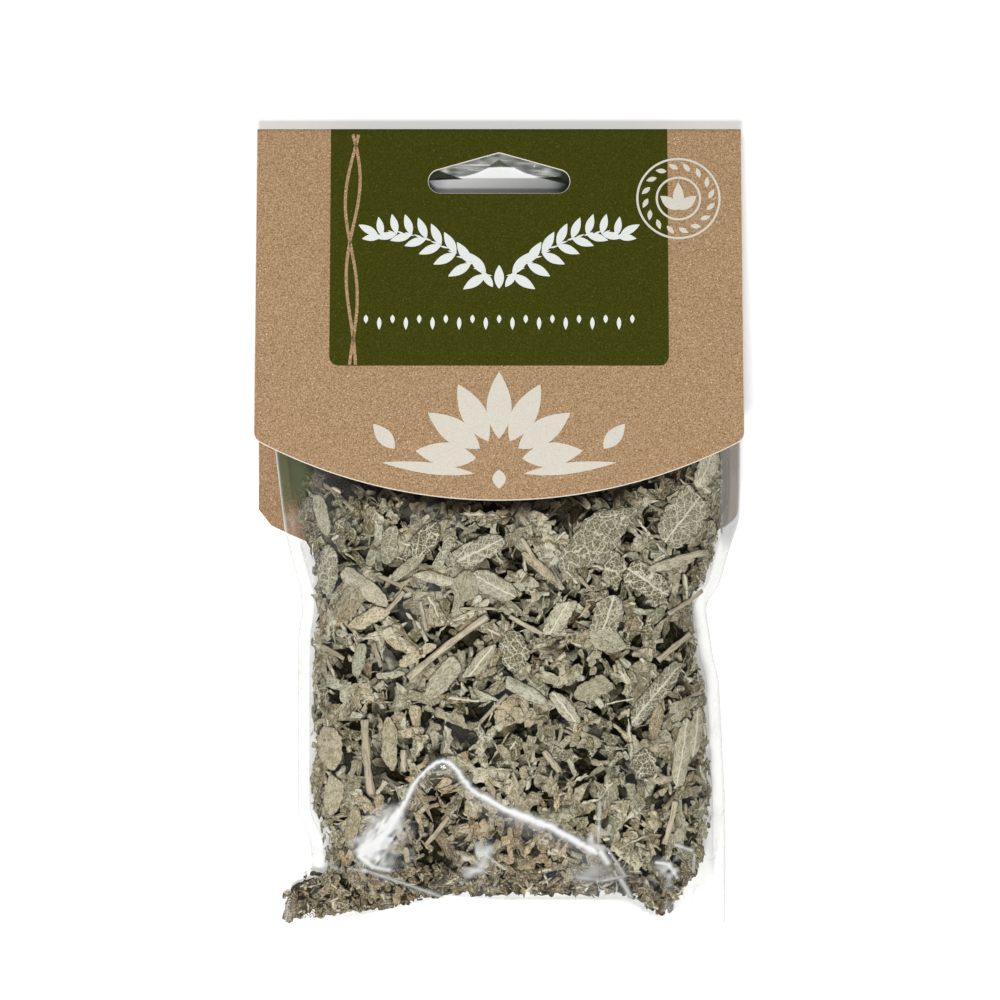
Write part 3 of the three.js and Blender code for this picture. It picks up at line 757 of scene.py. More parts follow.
def rule_line():
    """A row of small lozenges under the garland."""
    places = enumerate(np.arange(-30, 30.1, 3.0))
    return [(x, 42.6 + 0.5 * (i % 2), 2.0 + (i % 2), 1.0, 0) for i, x in places]


SEAL = (40.6, 15.4)  # the emblem's middle: x and the distance from the fold


def seal():
    """A round emblem at the right: a ring of small leaves round a sprig of three."""
    x, v = SEAL
    leaves = []
    for i in range(16):
        turn = math.radians(22.5 * i)
        leaves.append((x + 6.9 * math.sin(turn), v + 6.9 * math.cos(turn), 2.5, 1.1, 22.5 * i + 62))
    for turn in (180, 232, 128):
        leaves.append((x, v + 2.6, 6.4 if turn == 180 else 5.2, 2.5, turn))
    return leaves


def drawn_line(name, x, v, width, material, lift):
    """A thin printed line of that width along points given by x and the distance v from the fold."""
    along_x, along_v = np.gradient(x), np.gradient(v)
    size = np.hypot(along_x, along_v)
    rows = []
    for side in (-0.5, 0.5):
        px, pv = x - side * width * along_v / size, v + side * width * along_x / size
        rows.append(on_front(np.stack([px, FRONT_START_Y - pv * along_front], -1), lift))
    return grid_piece(name, np.stack(rows), material)


def palmette():
    """A fan of large leaves on the bare board under the printed panel."""
    leaves = []
    for i in range(-3, 4):
        turn = math.radians(27.5 * i)
        x, v = 5.2 * math.sin(turn), 76.5 - 5.2 * math.cos(turn)
        leaves.append((x, v, 15.5 - 0.6 * abs(i), 5.6, 180 - 27.5 * i))
    for side in (-1, 1):
        leaves.append((side * 5.5, 79.3, 21, 2.6, side * 97))
        leaves.append((side * 23.4, 73.6, 7.5, 3.4, side * 140))
    leaves.append((0, 78.4, 4.4, 3.0, 0))
    return leaves


card_pieces += [
    printed_leaves("print_garland", garland(), white_ink, INK + 0.02),
    printed_leaves("print_rule", rule_line(), white_ink, INK + 0.02),
    printed_leaves("print_seal", seal(), cream_ink, INK + 0.02),
    printed_leaves("print_palmette", palmette(), cream_ink, INK),
]
around = np.linspace(0, 2 * np.pi, 97)
for number, radius in ((1, 9.3), (2, 4.9)):
    card_pieces.append(drawn_line(
        f"print_seal_ring_{number}", SEAL[0] + radius * np.sin(around), SEAL[1] + radius * np.cos(around),
        0.5, cream_ink, INK + 0.1,
    ))
down = np.linspace(0, 1, 80)
for number, phase in ((1, 0.0), (2, 2.4)):
    card_pieces.append(drawn_line(
        f"print_tendril_{number}", -33.2 + 1.9 * np.sin(down * 7.5 + phase) * (1 - 0.5 * down),
        0.3 + 53.9 * down, 0.7, kraft, INK + 0.012,
    ))
for piece in card_pieces:
    belongs(piece, "kraft_card", "header_card")

# ---------- where the herb lies ----------

# How far the herb reaches: (y, x) at the sides and (x, y) below, and up behind the card.
HERB_LEFT = [
    (-91, -50), (-84, -50), (-78, -43), (-75, -40), (-66, -41.2), (-60, -44), (-25, -44.4),
    (-20, -42.6), (-6, -42.2), (3, -46.4), (12, -48), (60, -48),
]
HERB_RIGHT = [
    (-91, 39.9), (-86, 40), (-83.6, 42), (-79.3, 45), (-74, 47), (-71.6, 46.4), (-69, 48.2),
    (-61, 48.8), (-30, 48.4), (-24, 46.4), (-18, 44.6), (-12, 47), (-4, 51), (60, 51.4),
]
HERB_BOTTOM = [
    (-50, -90.4), (-22.7, -86.6), (-12.4, -84.4), (-8, -84.1), (28, -84.2), (31, -84.6), (36, -88.8),
    (42, -89), (43, -84), (50, -80),
]
HERB_TOP = 44.0
NECK_Y = 21.0  # from here to HERB_TOP the herb thins out


def herb_margin(x, y):
    """How far inside the herb's outline, seen from above."""
    side = np.minimum(x - along(HERB_LEFT, y), along(HERB_RIGHT, y) - x)
    return np.minimum(side, np.minimum(y - along(HERB_BOTTOM, x), HERB_TOP - y))


# ---------- film bag ----------

FILM_DEPTH = 0.06  # how far the film lies inside the CAD film's outside
LATTICE = 256  # the noise repeats after so many cells


def value_noise(x, y, cell, seed):
    """Smooth random values from -1 to 1 on a lattice of that cell size."""
    table = np.random.default_rng(seed).uniform(-1, 1, (LATTICE, LATTICE))
    gx, gy = x / cell + 40.3, y / cell + 40.7
    ix, iy = np.floor(gx).astype(int), np.floor(gy).astype(int)
    fx, fy = gx - ix, gy - iy
    fx, fy = fx * fx * (3 - 2 * fx), fy * fy * (3 - 2 * fy)
    low, high = [
        table[ix % LATTICE, row % LATTICE] * (1 - fx) + table[(ix + 1) % LATTICE, row % LATTICE] * fx
        for row in (iy, iy + 1)
    ]
    return low * (1 - fy) + high * fy


def from_line(x, y, ax, ay, bx, by):
    """The distance to the line from a to b, and the share of the way along it."""
    length = math.hypot(bx - ax, by - ay)
    ux, uy = (bx - ax) / length, (by - ay) / length
    t = np.clip((x - ax) * ux + (y - ay) * uy, 0, length)
    return np.hypot(x - ax - t * ux, y - ay - t * uy), t / length


def near_line(x, y, ax, ay, bx, by, width):
    """exp(-(distance to the line from a to b / width) ** 2)."""
    distance, _ = from_line(x, y, ax, ay, bx, by)
    return np.exp(-((distance / width) ** 2))


def ridge(x, y, ax, ay, bx, by, width, height):
    """A wrinkle along the line from a to b, which fades out at both ends."""
    distance, share = from_line(x, y, ax, ay, bx, by)
    taper = np.sin(np.pi * np.clip(share, 0.02, 0.98)) ** 0.5
    return height * taper * np.exp(-((distance / width) ** 2))


# Soft wrinkles: x and y of both ends, half width, height.
WRINKLES = [
    (-30, -76, -22, -64, 0.9, 0.6), (-33, -72, -25, -70, 0.8, 0.5), (-27, -79, -20, -70, 0.9, 0.4),
    (-12, -70, -6, -78, 1.1, 0.5), (-10, -79, -3, -73, 0.8, 0.4), (22, -73, 22.6, -61, 0.6, 0.6),
    (34, -74, 41, -80, 0.7, 0.5), (37, -80, 42, -77, 0.6, 0.4), (-44, -64, -38, -76, 0.8, 0.4),
    (47, -60, 45, -74, 0.7, 0.4),
]
# Places where the film is crumpled: x, y, radius.
CRUMPLES = [(-26.5, -70.5, 5.5), (-29, -74.5, 3.5), (-5, -75.5, 4), (22.5, -70, 3), (38.5, -78, 3.4)]
# Sharp creases that catch the light, painted white on the film as highlights and raised a little: x and y of
# both ends, half width, strength.
BRIGHT_CREASES = [
    (-31.6, -73.9, -28.5, -76.6, 0.6, 0.9), (-28.5, -76.6, -25, -77.4, 0.5, 0.8),
    (-29.4, -77.7, -12.6, -84.5, 0.3, 0.55), (-34, -77, -29.4, -77.7, 0.4, 0.3),
    (22.9, -72.8, 24.4, -75.2, 0.7, 0.9), (22.3, -70.6, 22.6, -61.5, 0.35, 0.5),
    (-4.6, -77.6, -2.2, -72.4, 1.1, 0.6), (-7, -79, -4.6, -77.6, 0.9, 0.4),
    (35.4, -75.3, 38.3, -75.9, 0.3, 0.85), (38.3, -75.9, 40.5, -79.5, 0.35, 0.9),
    (39.9, -71.4, 43.6, -72.8, 0.35, 0.7), (44.2, -73.9, 44.2, -78.2, 0.3, 0.5),
    (24.4, -72, 28.4, -78.4, 0.25, 0.6), (28.4, -78.6, 23.4, -80, 0.4, 0.4),
    (23.4, -80, 17.5, -79.2, 0.5, 0.25), (27.6, -79.6, 30, -84, 0.5, 0.7),
    (-36.6, -77.4, -43, -74, 0.5, 0.35),
]
ARCH = np.array([row for row in CREASE if row[2] > 0])
ARCH_POINTS = 120
# The arch is a chain of short bright creases, painted highlights that wobble a little in place and width.
arch_steps = np.linspace(0, len(ARCH) - 1, ARCH_POINTS)
arch_line = np.stack([np.interp(arch_steps, np.arange(len(ARCH)), column) for column in ARCH.T], 1)
arch_line[:, :2] += 0.09 * np.random.default_rng(6).normal(size=(ARCH_POINTS, 2))
arch_line[:, 2] *= np.random.default_rng(7).uniform(0.7, 1.25, ARCH_POINTS)
for (ax, ay, width), (bx, by, _) in zip(arch_line[:-1], arch_line[1:]):
    BRIGHT_CREASES.append((ax, ay, bx, by, width, 1.0))


def arch_y(x):
    """The bright line's height at x."""
    return np.interp(x, ARCH[:, 0], ARCH[:, 1])


def below_card(x, y):
    """How far below the front panel's curved edge."""
    return FRONT_EDGE_Y + x**2 / (2 * EDGE_RADIUS) - y


def crumpled(x, y):
    """1 in the middle of each crumpled place, fading outwards."""
    return sum(np.exp(-(((x - a) ** 2 + (y - b) ** 2) / r**2)) for a, b, r in CRUMPLES)


def film_height(x, y, sign):
    """The film's face: the bag's form, with wrinkles that stand outwards."""
    if sign > 0:
        z = front_z(x, y, FILM_DEPTH)
        inside = across_bulge(x, y, 0) * np.clip(front_fall(x, y) * 3, 0, 1)
        wave = value_noise(x, y, 12, 1) * 0.2 + value_noise(x, y, 5, 2) * 0.05
        wrinkles = sum(ridge(x, y, *w) for w in WRINKLES)
        broken = np.abs(value_noise(x, y, 2.6, 3)) * 0.7 + value_noise(x, y, 1.4, 4) * 0.15
        facets = crumpled(x, y) * broken
        creases = np.max([near_line(x, y, *c[:5]) * c[5] for c in BRIGHT_CREASES], 0) * 0.35
        fade = inside * smooth_step(9, 0, y)
        return z + fade * (wave + wrinkles + facets + creases - 0.2)
    z = back_z(x, y, FILM_DEPTH)
    wave = np.abs(value_noise(x, y, 7, 5)) * 0.25 * across_bulge(x, y, 0)
    return z + wave


def bag_grid(sign, rows, columns):
    """Rows across the bag from the bottom edge, which dips into the ears, up to the mouth. The
    front's rows stand closer together over the crumpled bottom."""
    if sign > 0:
        row_y = np.concatenate([np.linspace(BOTTOM_Y, -50, rows // 2, endpoint=False),
                                np.linspace(-50, MOUTH_Y, rows - rows // 2)])[:, None]
    else:
        row_y = np.linspace(BOTTOM_Y, MOUTH_Y, rows)[:, None]
    share = np.sin(np.pi * (np.linspace(0, 1, columns) - 0.5))[None]
    share = 0.35 * share + 0.65 * np.linspace(-1, 1, columns)[None]
    half = bag_half(row_y)
    x = bag_centre(row_y) + half * share
    ear = np.clip((-70 - row_y) / (-70 - BOTTOM_Y), 0, 1)
    y = row_y + (bottom_y(x) - BOTTOM_Y) * ear
    z = film_height(x, y, sign)
    return np.stack([x, y + 0 * x, z], -1)


def film_milk_and_glare(grid, sign):
    """Milkier in the side fins, the ears, the folded bottom and the neck. Much of the milk is painted light:
    white highlights along the creases, glare on the crumpled places, on the arch's left leg and below its
    right end, a glow along the arch, and soft reflections over the herb.
    """
    x, y = grid[..., 0], grid[..., 1]
    edge = 1 - across_bulge(x, y, 0)
    patch = np.clip(value_noise(x, y, 6, 8) * 0.6 + value_noise(x, y, 2.5, 9) * 0.25 + 0.4, 0, 1)
    haze_and_painted_light = 0.03 * edge**2
    haze_and_painted_light += 0.05 * smooth_step(4, 16, y) * (0.2 + 0.8 * edge)
    if sign < 0:
        return haze_and_painted_light * (0.45 + 0.9 * patch)
    # soft painted reflections over the herb, stronger towards the card and fading out at its edge
    soft_reflection = np.clip(value_noise(x, y, 8, 10) + 0.5 * value_noise(x, y, 4, 11) - 0.15, 0, 1)
    haze_and_painted_light += soft_reflection * (0.03 + 0.12 * smooth_step(-22, -2, y)) * smooth_step(0, 6, below_card(x, y))
    haze_and_painted_light = haze_and_painted_light * (0.45 + 0.9 * patch)
    # a painted glow along the arch, reaching further below it than above
    under = arch_y(x) - y
    arch_glow = np.where(under > 0, np.exp(-((under / 3.2) ** 2)), np.exp(-((under / 0.9) ** 2)))
    haze_and_painted_light += 0.3 * arch_glow * (np.abs(x + 4.4) < 27) * (0.3 + 0.7 * patch)
    # painted glare in streaks on the arch's left leg, and in a patch at its foot
    along_leg = (x + 26) * 0.55 + (y + 69) * 0.83
    across_leg = (x + 26) * 0.83 - (y + 69) * 0.55
    glare_streaks = np.clip(0.45 + 0.8 * value_noise(across_leg, along_leg * 0.25, 0.55, 14), 0, 1)
    haze_and_painted_light += 0.9 * near_line(x, y, -31, -72, -25, -64.4, 1.9) * (0.35 + 0.65 * glare_streaks)
    haze_and_painted_light += 0.5 * near_line(x, y, -27, -74, -22.5, -68, 2.4) * glare_streaks
    haze_and_painted_light += 0.8 * near_line(x, y, -29, -74.6, -25, -75.4, 1.5) * (0.3 + 0.7 * patch)
    haze_and_painted_light += 0.3 * smooth_step(-79, -84, y) * np.clip(value_noise(x, y, 4, 16) - 0.12, 0, 1)
    # a patch of painted glare below the right end of the arch
    haze_and_painted_light += 0.5 * np.exp(-(((x - 21) / 6) ** 2) - ((y + 78) / 2.2) ** 2) * (0.3 + 0.7 * patch)
    # painted glare on the crumpled places
    broken = value_noise(x, y, 1.5, 12) * 1.2 + value_noise(x, y, 3.1, 13) - 0.05
    facets = crumpled(x, y) * np.clip(broken, 0, 1)
    # painted highlights along the bright creases
    creases = np.max([near_line(x, y, *c[:5]) * c[5] for c in BRIGHT_CREASES], 0)
    return np.clip(haze_and_painted_light + 0.75 * facets + 0.95 * creases, 0, 0.97)


def film_olive_milk(grid):
    """Olive milk on the film's left side, just below the card, and thinner around."""
    x, y = grid[..., 0], grid[..., 1]
    patch = 0.85 + 0.15 * value_noise(x, y, 3, 15)
    thin = 0.1 * smooth_step(-32, -42, x) * smooth_step(-8, 2, y)
    return np.maximum(thin, smooth_step(1, 9, y - 0.5 * (x + 46)) * smooth_step(-40, -45, x)) * patch


def side_wrinkles(grid):
    """Thin wrinkles in the empty film beside the herb, painted as faint grey lines of shade where smooth
    noise is zero.
    """
    x, y = grid[..., 0], grid[..., 1]
    empty = smooth_step(0.5, -0.8, herb_margin(x, y)) * smooth_step(6, -2, y)
    lines = np.exp(-((value_noise(x * 1.4, y * 0.55, 3.4, 17) / 0.07) ** 2))
    return empty * lines * np.clip(0.6 + value_noise(x, y, 5, 18), 0, 1)


def edge_line(grid):
    """1 on the outermost third of a millimetre of the film: a painted line, grey shade over the floor and a
    white highlight beside the card.
    """
    x, y = grid[..., 0], grid[..., 1]
    return np.exp(-(((bag_half(y) - np.abs(x - bag_centre(y))) / 0.28) ** 2))


def trimmed(name, grid, values, material, keep):
    """A grid surface without the quads that keep says no to."""
    rows, columns = grid.shape[:2]
    quads = grid_quads(rows, columns)
    points = grid.reshape(-1, 3)
    middle = points[quads].mean(1)
    quads = quads[keep(middle[:, 0], middle[:, 1])]
    return make_mesh(name, points, quads, material, {key: v.ravel() for key, v in values.items()})


def outside_slot(x, y):
    """True outside the punched hole in the film."""
    line = slot_outline(SLOT_SHIFT, 0.3, 60)
    nxt = np.roll(line, -1, 0)
    side = (nxt[:, 0] - line[:, 0])[:, None] * (y - line[:, 1][:, None]) - (
        nxt[:, 1] - line[:, 1])[:, None] * (x - line[:, 0][:, None])
    return ~np.all(side > 0, 0)


def film_values(grid, sign):
    """What the film's material reads at each point: how milky it is, which also paints highlights and glare,
    how far shade darkens the milk into painted shade, and how far the milk turns olive."""
    front = sign > 0
    # the film's edge: a painted grey line of shade over the floor, a painted white highlight beside the card
    line = edge_line(grid)
    over_floor = smooth_step(-2, -8, grid[..., 1])
    olive_tint = film_olive_milk(grid) * front
    wrinkles = side_wrinkles(grid) * front
    # a grey strip of painted shade on the steep film wall at the right, over the card
    grey_strip = smooth_step(49.4, 51, grid[..., 0]) * (1 - over_floor) * front
    haze_and_painted_light = [
        film_milk_and_glare(grid, sign), 0.9 * olive_tint, 0.5 * grey_strip, 0.45 * wrinkles,
        (0.75 - 0.4 * over_floor) * line,
    ]
    shade = [0.35 * line * over_floor, 0.22 * wrinkles, 0.55 * grey_strip * (1 - line)]
    return {
        "haze_and_painted_light": np.max(haze_and_painted_light, axis=0),
        "shade": np.max(shade, axis=0),
        "olive_tint": np.minimum(1, 3 * olive_tint) * (1 - line),
    }


def slot_film(rows, columns):
    """The crumpled edge of the punched film in the hang slot, with the slot's light and shade painted on.
    From the top down: two grey lobes with folds and a few painted highlights that meet over a small gap
    in dark olive painted shade, a white arch of painted light, and a plain grey band of painted shadow,
    with black wedges of painted shade at both ends."""
    s = np.linspace(-1, 1, columns)[None]
    t = np.linspace(0, 1, rows)[:, None]
    x = 16.4 * s + 0 * t
    low, high = SLOT_Y - 3.2 + 0 * s, SLOT_Y + 2.6 + 4.6 * (1 - np.abs(s))
    y = high + (low - high) * t
    hump = np.interp(np.abs(x - 0.4), [0, 2.9, 3.7, 5.5, 8, 12, 15], [2.5, 2.35, 1.95, 1.1, 0.4, 0.12, 0])
    band_top = SLOT_Y + 1.0
    lobe = smooth_step(-0.05, 0.12, y - band_top - hump)
    arch = smooth_step(-0.06, 0.06, y - band_top) * (1 - lobe)
    folds = 0.5 * value_noise(x * 0.35, y * 1.6 + 0.05 * x, 0.8, 22) + 0.5 * value_noise(x, y * 1.5, 1.7, 23)
    # painted highlights on the lobes: a streak and two spots
    streak = np.exp(-(((y - SLOT_Y - 3.9) / 0.16) ** 2)) * (np.abs(x + 6) < 4)
    spots = np.exp(-(((x + 12.4) / 0.9) ** 2 + ((y - SLOT_Y - 2.7) / 0.7) ** 2))
    spots += 0.7 * np.exp(-(((x - 10.6) / 1.1) ** 2 + ((y - SLOT_Y - 2.5) / 0.7) ** 2))
    # the small gap where the lobes meet, in painted dark shade
    gap = smooth_step(-0.1, 0.1, 1 - np.abs(x) / 2.9 - (y - band_top - 2.4) / 1.8) * lobe
    # black wedges of painted shade at both ends
    left = smooth_step(-0.15, 0.2, (-7.8 - x) * 0.19 - np.abs(y - SLOT_Y - 0.7 + 0.16 * (x + 8)))
    right = smooth_step(-0.15, 0.2, (x - 8.3) * 0.14 - np.abs(y - SLOT_Y - 1.2 + 0.1 * (x - 8.3)))
    # the lobes: grey with painted shading of the folds, lightened by the painted highlights
    dark = lobe * (0.66 - 0.35 * folds - 0.7 * spots - 0.6 * streak)
    # the band below: painted shadow, darker to the right and further down
    dark = dark + (1 - lobe - arch) * (0.52 + 0.012 * x + 0.04 * (SLOT_Y - y))
    dark = np.maximum(dark, np.maximum(0.93 * gap, np.maximum(left, right)))
    # painted shade, darker towards both ends
    dark = dark + 0.3 * smooth_step(11, 16, np.abs(x))
    # an olive tint of the painted shade, strongest in the gap
    olive = lobe * 0.12 + 0.3 * gap
    middle = 0.5 * front_panel_z(y) + 0.5 * back_panel_z(y)
    z = middle + lobe * (0.5 * folds + 0.7) - 0.5
    return np.stack([x, y, z], -1), np.clip(dark, 0, 1), olive


film_pieces = []
for label, sign, rows, columns in (("film_front", 1, 330, 290), ("film_back", -1, 150, 90)):
    sheet = bag_grid(sign, rows, columns)
    film_pieces.append(trimmed(label, sheet, film_values(sheet, sign), film, outside_slot))
lobes, lobe_shade, lobe_olive = slot_film(90, 200)
lobe_values = {"haze_and_painted_light": 0.97 + 0 * lobe_shade, "shade": lobe_shade, "olive_tint": lobe_olive}
film_pieces.append(grid_piece("film_in_slot", lobes, film, lobe_values))
for piece in film_pieces:
    belongs(piece, "clear_film", "film_bag")

# ---------- sage ----------

CELL = 0.5  # the height map's pitch
SHADE_DROP = 7.4  # how much lower the herb lies under the card's edge
FULL_ROOM = 8.0  # where the bag is thinner than this at its bottom, the painted shade comes sooner
SCRAP_EDGE, LEAF_EDGE = 0.28, 0.35  # how thick the edges of scraps and whole leaves look
DARK_DEPTH = 4.2  # under the highest pieces, where a piece is fully in painted shade
UNDER_PLACED = 0.45  # how far the scraps stay under a listed leaf or stalk
PIECE_THICKNESS = 0.1
STEEPEST = (0.85, 0.95)  # the slopes that a piece may take over from the pile, along x and y
LARGEST_PUSH = 1.6  # a piece that would have to be pushed further down is left out
MAP_X = np.arange(-56, 56.1, CELL)
MAP_Y = np.arange(-92, 60.1, CELL)


def top_depth(x, y):
    """How far the highest pieces lie under the film's outside: less in the ears and at the seams."""
    from_seam = bag_half(y) - FIN_WIDTH - np.abs(x - bag_centre(y))
    return np.minimum(0.8 - 0.5 * smooth_step(-76, -81, y), 0.15 + 0.65 * smooth_step(0.3, 5, from_seam))


class Pile:
    """One face of the herb as a height map that pieces are dropped on. Heights count outwards
    from the middle of the bag, so the back is the same with its sign turned."""

    def __init__(self, sign, depth):
        gx, gy = np.meshgrid(MAP_X, MAP_Y, indexing="ij")
        self.sign = sign
        near = top_depth(gx, gy)
        self.skin = front_z(gx, gy, near) if sign > 0 else -back_z(gx, gy, near)
        self.top = self.skin.copy()
        if sign > 0:
            shade = smooth_step(3.4, -1.5, below_card(gx, gy))
            self.top -= SHADE_DROP * shade * (1 - 0.5 * smooth_step(22, 36, gx))
        room = front_z(gx, gy, near) - back_z(gx, gy, near)
        # how soon the painted shade comes: sooner where the bottom is thin, later on steep sides
        self.scale = 1 - (1 - np.clip(room / FULL_ROOM, 0.35, 1)) * smooth_step(-68, -78, gy)
        steep = np.gradient(self.skin, CELL, axis=0)
        self.scale *= np.minimum(np.sqrt(1 + 2 * steep**2), 3)
        self.open = ((room > 0.8) | (gy < -78)) & (herb_margin(gx, gy) > 0)
        if sign > 0:
            neck = gy > NECK_Y
            left = 0.6 - 0.45 * smooth_step(NECK_Y, HERB_TOP, gy)
            self.top[neck] = (self.skin - room * (1 - left))[neck]
            room[neck] *= left[neck]
        self.low = back_z(gx, gy, 0.3) if sign > 0 else -front_z(gx, gy, 0.3)
        self.now = self.top - np.minimum(depth, np.maximum(room * 0.5, 0.3))
        self.bed = self.now.copy()

    def cells_at(self, x, y):
        """The map cells nearest to x and y."""
        i = np.clip(np.round((x - MAP_X[0]) / CELL).astype(int), 0, len(MAP_X) - 1)
        j = np.clip(np.round((y - MAP_Y[0]) / CELL).astype(int), 0, len(MAP_Y) - 1)
        return i, j

    def reserve(self, placed):
        """Keeps the other pieces under a placed one."""
        i, j = self.cells_at(placed[..., 0].ravel(), placed[..., 1].ravel())
        np.minimum.at(self.top, (i, j), placed[..., 2].ravel() - UNDER_PLACED)

    def painted_depth_shade(self, placed):
        """Painted shade by depth: 0 just under the film, 1 at DARK_DEPTH: sooner in the thin bottom
        and ears, later along the steep sides."""
        spot = self.cells_at(placed[..., 0], placed[..., 1])
        depth = self.skin[spot] - self.sign * placed[..., 2]
        return smooth_step(1.1, DARK_DEPTH, depth / self.scale[spot])

    def smoothed(self, reach):
        """The finished heights averaged over squares of that many cells to each side, twice."""
        level = self.now.copy()
        for axis in (0, 1, 0, 1):
            total = np.cumsum(np.pad(level, [(reach + 1, reach) if a == axis else (0, 0) for a in (0, 1)],
                                     mode="edge"), axis)
            ahead = np.take(total, np.arange(2 * reach + 1, total.shape[axis]), axis)
            behind = np.take(total, np.arange(0, total.shape[axis] - 2 * reach - 1), axis)
            level = (ahead - behind) / (2 * reach + 1)
        return level

    def drop(self, local, x, y, yaw, lean, settle):
        """Lays one piece of local points down and returns them placed, or None where it is full."""
        c, s = math.cos(yaw), math.sin(yaw)
        u, v, w = local[:, 0], local[:, 1], local[:, 2]
        px, py = c * u - s * v, s * u + c * v
        i, j = self.cells_at(x + px, y + py)
        if self.open[i, j].mean() < 0.9:
            return None
        ground = self.now[i, j]
        mean = ground.mean()
        qx, qy = px - px.mean(), py - py.mean()
        gx = (qx * (ground - mean)).sum() / ((qx * qx).sum() + 4)
        gy = (qy * (ground - mean)).sum() / ((qy * qy).sum() + 4)
        gx = np.clip(gx, -STEEPEST[0], STEEPEST[0]) + lean[0]
        gy = np.clip(gy, -STEEPEST[1], STEEPEST[1]) + lean[1]
        shrink = 1 / math.sqrt(1 + gx * gx + gy * gy)
        wx, wy = px - w * gx * shrink, py - w * gy * shrink
        i, j = self.cells_at(x + wx, y + wy)
        z = qx * gx + qy * gy + w * shrink
        z = z + np.quantile(self.now[i, j] - z, settle)
        proud = (z - self.top[i, j]).max()
        if proud > 0:
            z = z - proud
            if proud > LARGEST_PUSH or (z < self.now[i, j] - 0.4).mean() > 0.5:
                return None
        z = np.maximum(z, self.low[i, j])
        np.maximum.at(self.now, (i, j), z + PIECE_THICKNESS)
        return np.stack([x + wx, y + wy, self.sign * z], 1)


def scrap(rows, columns, length, width, curl, bend, torn, fold):
    """A torn scrap of leaf: a sheet stretched between four random corners, with bowed and ragged
    sides, rolled about its length by the angle curl, arched along it by bend, folded down the
    middle and crumpled by two products of sines."""
    t = np.linspace(-1, 1, rows)[:, None]
    s = np.linspace(-1, 1, columns)[None]
    near, far, left, right = (1 - t) / 2, (1 + t) / 2, (1 - s) / 2, (1 + s) / 2
    wide = rng.uniform(0.5, 1.0, (2, 2))
    long = rng.uniform(0.65, 1.15, (2, 2))
    pointed = rng.random()
    if pointed < 0.45:
        wide[0] *= 0.2
    if pointed < 0.18:
        wide[1] *= 0.25
    across = far * (right * wide[1, 1] - left * wide[1, 0]) + near * (right * wide[0, 1] - left * wide[0, 0])
    lengthwise = far * (right * long[1, 1] + left * long[1, 0])
    lengthwise = lengthwise - near * (right * long[0, 1] + left * long[0, 0])
    across = across * (1 + rng.uniform(-0.25, 0.3) * (1 - t * t))
    ragged = rng.uniform(-1, 0.4, (rows, 2)) * torn
    across = width / 2 * (across + np.where(s > 0, ragged[:, 1:], -ragged[:, :1]) * s**2)
    ragged = rng.uniform(-1, 0.4, (2, columns)) * torn * width
    lengthwise = length / 2 * lengthwise + 0.5 * ragged[1:] * far**5 - 0.5 * ragged[:1] * near**5
    lengthwise = lengthwise + width * rng.uniform(-0.05, 0.25) * (1 - s * s) * t**3
    k = (curl if abs(curl) > 0.02 else 0.02) / width
    b = (bend if abs(bend) > 0.02 else 0.02) / length
    x = np.sin(across * k) / k
    z = (np.cos(across * k) - 1) / k
    y = np.sin(lengthwise * b) / b
    z = z + (np.cos(lengthwise * b) - 1) / b - fold * np.abs(across - 0.1 * width)
    a1, a2, a3, a4 = rng.uniform(0, 6.3, 4)
    z = z + 0.1 * width * np.sin(across * 1.7 + a1) * np.sin(lengthwise * 1.1 + a2)
    z = z + 0.07 * width * np.sin(across * 3.3 + a3) * np.sin(lengthwise * 2.3 + a4)
    grid = np.stack([x, y, z], -1)
    if rng.random() < 0.4:
        grid[..., 2] *= -1
    return with_rim(grid, SCRAP_EDGE), with_rim(np.stack([across, lengthwise], -1), 0)


def with_rim(grid, drop):
    """Repeats a grid's border a little further out and lower, so that a thin piece shows an edge."""
    wide = np.pad(grid, ((1, 1), (1, 1), (0, 0)), mode="edge")
    if drop:
        outwards = wide[[1, -2]] - wide[[2, -3]]
        outwards /= np.linalg.norm(outwards, axis=-1, keepdims=True) + 1e-6
        wide[[0, -1]] += 0.4 * drop * outwards - (0, 0, drop)
        outwards = wide[1:-1, [1, -2]] - wide[1:-1, [2, -3]]
        outwards /= np.linalg.norm(outwards, axis=-1, keepdims=True) + 1e-6
        wide[1:-1, [0, -1]] += 0.4 * drop * outwards - (0, 0, drop)
    return wide


def ring_mask(rows, columns, ring):
    """1 on the points of one ring of a grid, counted from its border."""
    mask = np.zeros((rows, columns))
    mask[ring:rows - ring, ring:columns - ring] = 1
    mask[ring + 1:rows - ring - 1, ring + 1:columns - ring - 1] = 0
    return mask


